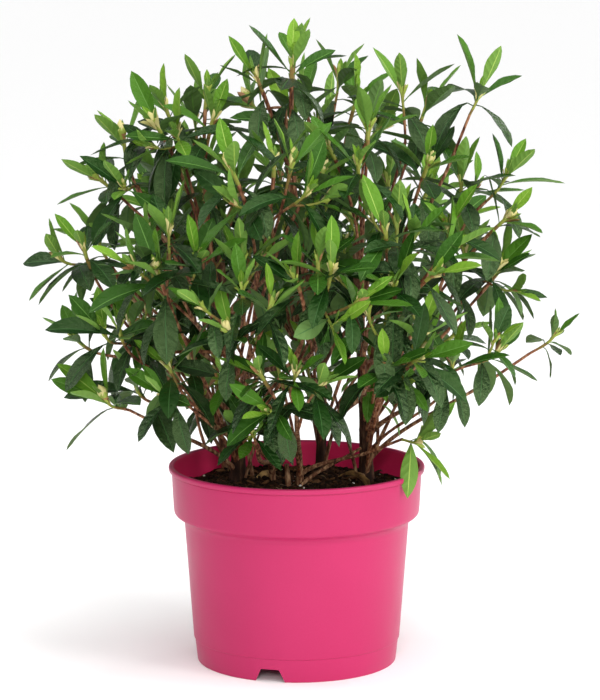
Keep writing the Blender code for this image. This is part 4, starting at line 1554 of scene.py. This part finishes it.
def posture(axis, turn, stalk_angle, settled_angle, sag, to_light):
    """First direction, upper side and bend of a leaf on a shoot that points along an axis."""
    out = around(axis, turn)
    way = axis * math.cos(stalk_angle) + out * math.sin(stalk_angle)
    upper = axis * math.sin(stalk_angle) - out * math.cos(stalk_angle)
    settled = axis * math.cos(settled_angle) + out * math.sin(settled_angle)
    settled = settled.lerp(-UP, sag).normalized()
    bend = way.angle(settled)
    if bend > LEAST_BEND:
        face = (way * math.cos(bend) - settled).normalized()
        if face.dot(upper) < 0:
            face = -face
            bend = -bend
    else:
        face = upper
    face = face + (UP - way * way.dot(UP)) * to_light
    face = (face - way * way.dot(face)).normalized()
    return way, face, bend


trial_leaf = bent(full_leaf, (0, 0, 0), (0, 1, 0), (0, 0, 1), 0.05, 0.008, (0.3, 0.4), 0.2,
                  0.1, 0.0, 0.0)
print("a bent leaf of 50 mm reaches", round(trial_leaf[:, 1].max() * 1000), "mm and drops",
      round(-trial_leaf[:, 2].min() * 1000), "mm")

# %% [markdown]
# ## Leaf colours
#
# Young leaves are yellow green and softly shiny. They darken with age to a deep green with a
# waxy gloss, and here and there an old leaf has begun to yellow. A leaf's colour belongs to that
# leaf and not to its place in the crown, so it is dealt out as one of several plain materials.
# Side veins pull narrow furrows into the blade, which bulges between them, and fine noise on top
# breaks up reflections. Both are relief only, worked out on the leaf's own flat map: how far
# across it and how far along.

# %% Leaf finishes
# Name, upper side, roughness, gloss, rib tone, underside tone
TINTS = [
    ("fresh", (110, 149, 45), 0.33, 0.28, 0, 0),
    ("fresh_deep", (87, 130, 36), 0.30, 0.28, 0, 0),
    ("mid", (62, 104, 26), 0.28, 0.28, 1, 0),
    ("mid_deep", (40, 78, 19), 0.24, 0.30, 1, 1),
    ("deep", (21, 52, 15), 0.19, 0.42, 2, 1),
    ("deep_blue", (13, 37, 15), 0.13, 0.95, 2, 1),
    ("old", (23, 43, 18), 0.16, 0.72, 2, 1),
    ("yellowed", (160, 146, 46), 0.45, 0.30, 0, 0),
]
LEAF_SHEEN = (0.62, 0.95, 0.38, 1.0)    # waxy leaves reflect with a little of their own green
RELIEF_DEPTH = 0.00065                 # glossy old leaves are the more puckered
VEIN_COUNT = 7
VEIN_SLANT = 0.15                      # how far forward a side vein runs, as a share of the length
RIB_TONES = [(154, 180, 84), (92, 134, 56), (52, 88, 42)]
UNDER_TONES = [(102, 140, 56), (82, 112, 56)]


def veined(finish):
    """Height of the blade between its side veins, from 0 in a furrow to 1 on a bulge."""
    flat = finish.node("ShaderNodeUVMap", {"uv_map": "flat"}, {})
    across = finish.node("ShaderNodeSeparateXYZ", {}, {"Vector": flat}, 0)
    along = finish.node("ShaderNodeSeparateXYZ", {}, {"Vector": flat}, 1)
    across = across.maths("ABSOLUTE", across)
    phase = (along - across * VEIN_SLANT) * (VEIN_COUNT * math.pi)
    bulge = phase.maths("SINE", phase)
    return bulge.maths("ABSOLUTE", bulge)


def leaf_finishes():
    materials = []
    for name, colour, roughness, gloss, _, _ in TINTS:
        finish = Finish(name + "_leaf", display(*colour), roughness,
                        Specular_IOR_Level=gloss, Specular_Tint=LEAF_SHEEN)
        finish.relief(finish.cloud(480.0, 4.0, 0.6) + veined(finish) * 0.3, 1.0,
                      RELIEF_DEPTH * (1 + gloss))
        materials.append(finish.material)
    for number, colour in enumerate(RIB_TONES):
        finish = Finish(f"rib_{number}", display(*colour), 0.45, Specular_IOR_Level=0.2)
        materials.append(finish.material)
    for number, colour in enumerate(UNDER_TONES):
        finish = Finish(f"underside_{number}", display(*colour), 0.6, Specular_IOR_Level=0.2)
        finish.relief(finish.cloud(600.0, 2.0, 0.6) - veined(finish), 0.7, 0.0005)
        materials.append(finish.material)
    return materials


leaf_materials = leaf_finishes()
slot_table = np.array([(number, len(TINTS) + rib, len(TINTS) + len(RIB_TONES) + under)
                       for number, (*_, rib, under) in enumerate(TINTS)])
tint_number = {row[0]: number for number, row in enumerate(TINTS)}
print("leaf materials:", len(leaf_materials))

# %% Deal out the tints
YELLOWED_CHANCE = 0.0012


def tint_for(age, dice):
    """Pick a tint for a leaf: age 0 is the newest, 1 the oldest."""
    if dice.random() < YELLOWED_CHANCE:
        return tint_number["yellowed"]
    tone = 0.3 + 5.6 * age**0.85 + dice.uniform(-1.0, 1.0)
    return int(min(max(round(tone), 0), tint_number["old"]))


print("a leaf of middle age may be", TINTS[tint_for(0.5, random.Random(1))][0])

# %% [markdown]
# ## Room for every leaf
#
# Real leaves grow past one another and do not run through wood or through other leaves. Before
# a leaf is kept, three points along its midrib are compared with those of all leaves so far and
# with the wood and the pot. A leaf that is too close is tried again at another turn, and the
# best of the tries is kept.

# %% Find room for a leaf
LOWEST_LEAF = 0.188        # leaves are kept above this height, a centimetre over the pot's lip
MOST_SPOTS = 60000         # room in the list of spots
WOOD_REACH = 0.010         # wood and pot farther off than this are not looked for
PAST_BOX = 0.006           # leaves may reach this far past the solid model's box


class Crown:
    """Remembers where leaves are, so that later ones can keep clear."""

    def __init__(self, pieces):
        self.spots = np.zeros((MOST_SPOTS, 3))
        self.count = 0
        self.trees = []
        graph = bpy.context.evaluated_depsgraph_get()
        for piece in pieces:
            self.trees.append(BVHTree.FromObject(piece, graph))

    def room(self, points, lowest):
        """Distance from these points to the nearest leaf spot, or less where wood is nearer."""
        if self.count:
            apart = self.spots[:self.count, None, :] - points[None, :, :]
            nearest = math.sqrt(float((apart * apart).sum(axis=2).min()))
        else:
            nearest = 1.0
        for tree in self.trees:
            for point in points:
                found = tree.find_nearest(Vector(point), WOOD_REACH)
                if found[0] is not None:
                    nearest = min(nearest, found[3] * 1.4)
        low = np.array(solid_box[0]) - PAST_BOX
        high = np.array(solid_box[1]) + PAST_BOX
        low[2] = lowest
        beyond = max(float((low - points).max()), float((points - high).max()), 0.0)
        return nearest - beyond * 20

    def keep(self, points):
        self.spots[self.count:self.count + len(points)] = points
        self.count += len(points)


def spots_on(corners, blank, shares):
    """Points on a leaf's midrib at these shares of its length."""
    middle = np.abs(blank.corners[:, 0]) < 0.2
    spots = []
    for share in shares:
        distance = np.abs(blank.corners[:, 1] - share) + (~middle) * 10
        spots.append(corners[int(distance.argmin())])
    return np.array(spots)


crown = Crown([barked, pot, twigs])
print("the crown keeps clear of", len(crown.trees), "pieces")

# %% [markdown]
# ## Rosettes
#
# Every shoot carries a rosette: some seven leaves a golden angle apart, the lowest and oldest
# hanging, the topmost nearly upright round the bud. A few old leaves are left lower on the
# shoot. Leaves are gathered by the side of the crown they are on, and each gathering takes the
# place of the solid masses on that side.

# %% How one leaf grows
YOUNG_SPRIG = "low_right"      # this low sprig is new growth
SPRIG_SAG = 2.4                # its soft leaves hang over the lip of the pot
SPRIG_SLIM = 0.80              # and they are slimmer than settled leaves
STALK_ANGLE = (22, 48)         # degrees off the shoot for a new leaf, and how many more with age
SETTLED_ANGLE = (20, 112)      # the same for its blade once that has bent
OLD_SAG = 0.72
FOLD_ANGLE = (13, 30)
FOLD_LOST = 7                  # degrees by which a leaf unfolds with age


def try_leaf(shoot, distance, turn, age, length, dice):
    """One try at a leaf: its corners, from its age and a few throws of the dice."""
    point, axis, radius = shoot.below(distance)
    stalk_angle = math.radians(STALK_ANGLE[0] + STALK_ANGLE[1] * age + dice.uniform(-7, 7))
    settled_angle = math.radians(
        SETTLED_ANGLE[0] + SETTLED_ANGLE[1] * age**1.15 + dice.uniform(-12, 12))
    sag = OLD_SAG * age**2 * dice.uniform(0.4, 1.3)
    if shoot.mass == YOUNG_SPRIG:
        sag = min(sag * SPRIG_SAG + 0.25 * age, 0.95)
    way, face, bend = posture(axis, turn, stalk_angle, settled_angle, sag, 0.35 + 0.4 * age)
    base = point + around(axis, turn) * radius * 0.5
    width = LEAF_HALF_WIDTH / LEAF_LENGTH * length * (0.93 + 0.13 * age) * dice.uniform(0.9, 1.1)
    if shoot.mass == YOUNG_SPRIG:
        width *= SPRIG_SLIM
    stalk_bend = bend * dice.uniform(0.45, 0.6)
    blade_bend = bend - stalk_bend + dice.uniform(-0.12, 0.22)
    fold = math.radians(dice.uniform(*FOLD_ANGLE) - FOLD_LOST * age)
    twist = dice.uniform(-0.45, 0.45)
    wave = dice.uniform(0.0002, 0.0007)
    phase = dice.uniform(0, math.tau)
    return bent(full_leaf, base, way, face, length, width, (stalk_bend, blade_bend), fold,
                twist, wave, phase)


trial_leaf = try_leaf(shoots[0], 0.01, 0.0, 0.5, LEAF_LENGTH, random.Random(1))
print("a leaf of middle age spans", [round(float(span), 3) for span in np.ptp(trial_leaf, axis=0)])

# %% Keep the best of a few tries
ROOM_WANTED = 0.0065           # a try with this much room is taken at once
ROOM_NEEDED = 0.0012           # a leaf whose best try has less is left out
SPRIG_LOWEST = 0.160           # how low the young sprig's leaves may hang
SPRIG_AGE = 0.25               # the sprig's leaves are all light green
TRIES = 6
CHECKED_SHARES = (0.42, 0.7, 0.97)    # of a leaf's length, where its distances are measured


def grow_leaf(heap, shoot, distance, turn, age, length, dice):
    """Add a leaf to the heap where it has room, at the turn that leaves it the most."""
    best = None
    is_sprig = shoot.mass == YOUNG_SPRIG
    for trial in range(TRIES):
        swing = turn + (0 if trial == 0 else dice.uniform(-0.6, 0.6))
        corners = try_leaf(shoot, distance, swing, age, length, dice)
        spots = spots_on(corners, full_leaf, CHECKED_SHARES)
        room = crown.room(spots, SPRIG_LOWEST if is_sprig else LOWEST_LEAF)
        if best is None or room > best[0]:
            best = (room, corners, spots)
        if room > ROOM_WANTED:
            break
    room, corners, spots = best
    if room < ROOM_NEEDED:
        return
    crown.keep(spots)
    shown_age = age * (SPRIG_AGE if is_sprig else 1.0)
    heap.add(full_leaf, corners, slot_table[tint_for(shown_age, dice)][full_leaf.slots])


print("a leaf is tried", TRIES, "times at most and wants", ROOM_WANTED * 1000, "mm of room")

# %% A rosette
# Leaves of these masses are longer or shorter than the rest
SIZES = {
    "right_tip": 0.66, "low_right": 0.86, "low_middle": 0.85, "low_front": 0.9,
    "left_front_low": 0.9, "left_tip": 1.20, "top_right_tip": 0.98, "front_left": 0.92,
    "front": 0.95, "right_front_low": 0.92, "right_low": 0.88, "left_low": 1.08,
}
SPRIG_TURN = 2.4               # the sprig's rosette is turned, and full
SPRIG_LEAVES = 8
ROSETTE_DEPTH = 0.022          # how far down the shoot its oldest leaf sits
LONG_SHOOT = 0.06              # a longer shoot may keep a few old leaves lower down
YOUNGEST_LENGTH = (0.013, 0.024)


def youngest_leaves(heap, shoot, size, turn, dice):
    """Two or three leaves that have just left the bud, nearly upright."""
    for number in range(dice.randint(2, 3)):
        length = dice.uniform(*YOUNGEST_LENGTH) * size
        point, axis, _ = shoot.below(0.0008)
        lean = math.radians(dice.uniform(8, 24))
        way, face, _ = posture(axis, turn - (number + 1) * GOLDEN, lean, lean, 0.0, 0.1)
        corners = bent(small_leaf, point, way, face, length, length * 0.16,
                       (0.0, dice.uniform(-0.3, 0.2)), 0.45, 0.0, 0.0, 0.0)
        heap.add(small_leaf, corners, slot_table[0][small_leaf.slots])


def grow_rosette(heap, shoot, dice):
    size = SIZES.get(shoot.mass, 1.0) * shoot.vigour
    count = dice.randint(6, 8) if shoot.main else dice.randint(4, 6)
    turn = dice.uniform(0, math.tau)
    if shoot.mass == YOUNG_SPRIG:
        turn += SPRIG_TURN
        count = SPRIG_LEAVES
    low = min(ROSETTE_DEPTH * size, shoot.length * 0.5)
    for number in range(count):
        rise = number / (count - 1)
        distance = low * (1 - rise) + 0.0010
        share = 1.08 - 0.08 * rise - 0.22 * rise**4
        length = LEAF_LENGTH * size * share * dice.uniform(0.84, 1.14)
        grow_leaf(heap, shoot, distance, turn + number * GOLDEN, 1 - rise, length, dice)
    lower = dice.randint(0, 2) if shoot.main and shoot.length > LONG_SHOOT else 0
    for number in range(lower):
        distance = dice.uniform(0.026, min(0.048, shoot.length * 0.8))
        length = LEAF_LENGTH * size * dice.uniform(0.85, 1.12)
        grow_leaf(heap, shoot, distance, turn + (count + number) * GOLDEN + 1, 1.05, length, dice)
    youngest_leaves(heap, shoot, size, turn, dice)


print("leaves are", round(LEAF_LENGTH * 1000 * min(SIZES.values())), "to",
      round(LEAF_LENGTH * 1000 * max(SIZES.values())), "mm long before each one's own share")

# %% Leaves by the side of the crown
def side_of(name, middle):
    """Which side of the crown a mass of foliage is on."""
    x, y, z = middle
    if y > 0.06:
        return "back_left" if x < 0.02 and name != "rear_middle" else "back_right"
    if z > 0.43:
        return "top"
    if x < -0.08:
        return "left"
    return "right" if x > 0.08 else "front"


def make_leaves():
    dice = random.Random(48)
    sides = {}
    for name, _, _, middle, _, _ in MASSES:
        sides.setdefault(side_of(name, middle), []).append(name)
    for side, names in sides.items():
        heap = Heap(side + "_leaves", leaf_materials)
        for shoot in shoots:
            if shoot.mass in names:
                grow_rosette(heap, shoot, dice)
        piece = heap.build()
        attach(piece, "root")
        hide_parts(*["foliage_" + name for name in names])
        print(side, "leaves:", len(piece.data.polygons), "triangles")


make_leaves()
print("leaves in all:", crown.count // len(CHECKED_SHARES))

# %% [markdown]
# ## Buds
#
# In the heart of each rosette sits next year's bud in a collar of narrow scales. Resting leaf
# buds are small and pointed. Flower buds are plump, cream to yellow green, and their lower
# scales are a pinkish brown. The bud is a ball drawn out to a point with spiral ridges where its
# scales overlap, and the loose scales round it are the small leaf blank, shortened.

# %% A bud
BUD_COLOURS = [("bud_cream", (220, 208, 140)), ("bud_green", (158, 176, 72)),
               ("bud_brown", (164, 118, 76))]
CREAM, GREEN, BROWN = range(3)
BUD_WIDTH = 0.24           # half the bud's width as a share of its length
BROWN_BELOW = 0.24         # shares of the bud's height where its colours change
GREEN_BELOW = 0.55


def bud_blank():
    """A pointed bud one unit long, standing on its base, with spiral ridges."""
    bm = bmesh.new()
    bmesh.ops.create_uvsphere(bm, u_segments=10, v_segments=9, radius=1.0)
    for vert in bm.verts:
        height = (vert.co.z + 1) / 2
        turn = math.atan2(vert.co.y, vert.co.x)
        ridge = 1.0 + 0.07 * math.sin(turn * 3 + height * 4)
        belly = BUD_WIDTH * math.sin(math.pi * min(1.0, height * 0.90 + 0.10)) ** 1.1 * ridge
        flat = Vector((vert.co.x, vert.co.y, 0.0))
        flat = flat.normalized() if flat.length > 0.0001 else flat
        vert.co = flat * belly + Vector((0.0, 0.0, height**0.9))

    def slot_of(face):
        height = face.calc_center_median().z
        if height < BROWN_BELOW:
            return BROWN
        return GREEN if height < GREEN_BELOW else CREAM
    return Blank(bm, slot_of)


def bud_finishes():
    materials = []
    for name, colour in BUD_COLOURS:
        finish = Finish(name, display(*colour), 0.5)
        finish.relief(finish.cloud(900.0, 3.0, 0.6), 0.5, 0.0003)
        materials.append(finish.material)
    return materials


ball = bud_blank()
print("a bud has", len(ball.triangles), "triangles, brown:", int((ball.slots == BROWN).sum()))

# %% Buds in every rosette
SCALE_TONES = (CREAM, CREAM, GREEN, GREEN, BROWN)
PLUMP_CHANCE = 0.14
PLUMP_LENGTH = (0.014, 0.020)
SLIM_LENGTH = (0.006, 0.010)
SCALE_LENGTH = (0.008, 0.015)


def make_buds():
    dice = random.Random(59)
    heap = Heap("buds", bud_finishes())
    for shoot in shoots:
        plump = shoot.main and dice.random() < PLUMP_CHANCE
        length = dice.uniform(*(PLUMP_LENGTH if plump else SLIM_LENGTH))
        girth = dice.uniform(0.9, 1.15) * (1.0 if plump else 0.75)
        point, axis, _ = shoot.below(0.0)
        corners = copied(ball, point, axis, dice.uniform(0, math.tau),
                         (length * girth, length * girth, length))
        heap.add(ball, corners)
        for number in range(dice.randint(5, 7) if shoot.main else 3):
            point, axis, radius = shoot.below(dice.uniform(0.0, 0.006))
            lean = math.radians(dice.uniform(6, 30))
            way, face, _ = posture(axis, number * GOLDEN, lean, lean, 0.0, 0.0)
            size = dice.uniform(*SCALE_LENGTH) * (1.3 if plump else 1.0)
            base = point + around(axis, number * GOLDEN) * radius * 0.7
            corners = bent(small_leaf, base, way, face, size, size * 0.2,
                           (0.0, dice.uniform(-0.5, 0.5)), 0.5, 0.0, 0.0, 0.0)
            tone = dice.choice(SCALE_TONES)
            heap.add(small_leaf, corners, np.full(len(small_leaf.triangles), tone))
    return heap.build()


buds = make_buds()
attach(buds, "root")
print("buds:", len(buds.data.polygons), "triangles")

# %% [markdown]
# ## What lies under a shrub
#
# A plant that has stood in a nursery has dropped something: dry leaves curled up on the mix, a
# turned leaf caught low in the crown on its way down, and fine surface roots where the mix has
# washed down. A dry leaf is the leaf blank again, bent until it nearly closes. The roots are
# thin tubes that wander over the mix and dip into it at both ends.

# %% Fallen leaves
# Base, first direction, length, bends, fold, slot
FALLEN = [
    ((0.038, 0.012, 0.1640), (0.70, -0.35, 0.75), 0.038, (0.5, 1.5), 0.65, 0),
    ((-0.018, 0.056, 0.1610), (-0.70, -0.60, 0.12), 0.030, (0.3, 1.0), 0.60, 0),
    ((0.078, 0.046, 0.1620), (-0.30, 0.80, 0.25), 0.028, (0.6, 1.6), 0.70, 1),
    ((-0.1090, -0.0550, 0.2660), (0.25, -0.20, -0.95), 0.026, (0.3, 0.4), 0.35, 2),
]
FALLEN_WIDTH = 0.23        # half width as a share of the length
# Name, dark blotches, light ground
FALLEN_COLOURS = [("dry_leaf", (96, 66, 34), (172, 134, 78)),
                  ("rotten_leaf", (44, 30, 20), (86, 60, 38)),
                  ("turned_leaf", (176, 92, 34), (214, 148, 60))]


def fallen_finishes():
    materials = []
    for name, dark, light in FALLEN_COLOURS:
        finish = Finish(name, display(*light), 0.75)
        blotch = finish.cloud(160.0, 3.0, 0.6)
        colour = finish.ramp(blotch, [(0.38, display(*dark)), (0.62, display(*light))])
        finish.set("Base Color", colour)
        finish.relief(finish.cloud(700.0, 3.0, 0.6), 0.6, 0.0005)
        materials.append(finish.material)
    return materials


def make_fallen():
    heap = Heap("fallen_leaves", fallen_finishes())
    for base, way, length, bends, fold, slot in FALLEN:
        way = Vector(way).normalized()
        face = (UP - way * way.dot(UP)).normalized()
        corners = bent(full_leaf, base, way, face, length, length * FALLEN_WIDTH, bends, fold,
                       0.7, 0.0012, 1.0)
        heap.add(full_leaf, corners, np.full(len(full_leaf.triangles), slot))
    return heap.build()


fallen = make_fallen()
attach(fallen, "root")
print("fallen leaves:", len(FALLEN))

# %% Surface roots
ROOT_COUNT = 26
ROOT_STEPS = 8
ROOT_SIDES = 6
ROOT_RADIUS = (0.00025, 0.0006)
ROOT_LENGTH = (0.012, 0.030)
ROOT_MARGIN = 0.020        # roots start this far from the pot's wall
ROOT_LIFT = 0.0014
ROOT_DIP = 0.0008


def make_roots():
    """Thin roots that wander over the mix and dip into it at both ends."""
    dice = random.Random(71)
    strands = []
    for _ in range(ROOT_COUNT):
        start = on_soil(dice, ROOT_MARGIN)
        turn = dice.uniform(0, math.tau)
        run = Vector((math.cos(turn), math.sin(turn), 0.0)) * dice.uniform(*ROOT_LENGTH)
        points = []
        for step in range(ROOT_STEPS + 1):
            share = step / ROOT_STEPS
            spot = start + run * share
            spot += Vector((-run.y, run.x, 0)) * 0.3 * noise.noise(start * 90 + UP * share * 2)
            if math.hypot(spot.x, spot.y) > SOIL_TOP_RADIUS - WALL_MARGIN:
                break
            lift = ROOT_LIFT * math.sin(math.pi * share) - ROOT_DIP
            height = SOIL_LEVEL + soil_height(spot.x, spot.y) + lift
            points.append(Vector((spot.x, spot.y, height)))
        if len(points) > 3:
            radius = dice.uniform(*ROOT_RADIUS)
            strands.append((points, [radius] * len(points), 0))
    finish = Finish("surface_root", display(132, 104, 76), 0.8)
    shade = finish.cloud(500.0, 3.0)
    finish.set("Base Color", finish.mix(shade, display(92, 66, 46), display(164, 136, 104)))
    materials = [finish.material]
    return finished("surface_roots", tubes(strands, ROOT_SIDES, materials), materials, SOFT_SHARP_ANGLE)


roots = make_roots()
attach(roots, "root")
print("surface roots:", len(roots.data.polygons), "faces")

# %% [markdown]
# ## The solid model's box
#
# The box of the solid model is kept from the start: shoot tips stay inside it, and leaves may
# reach only a little past it.
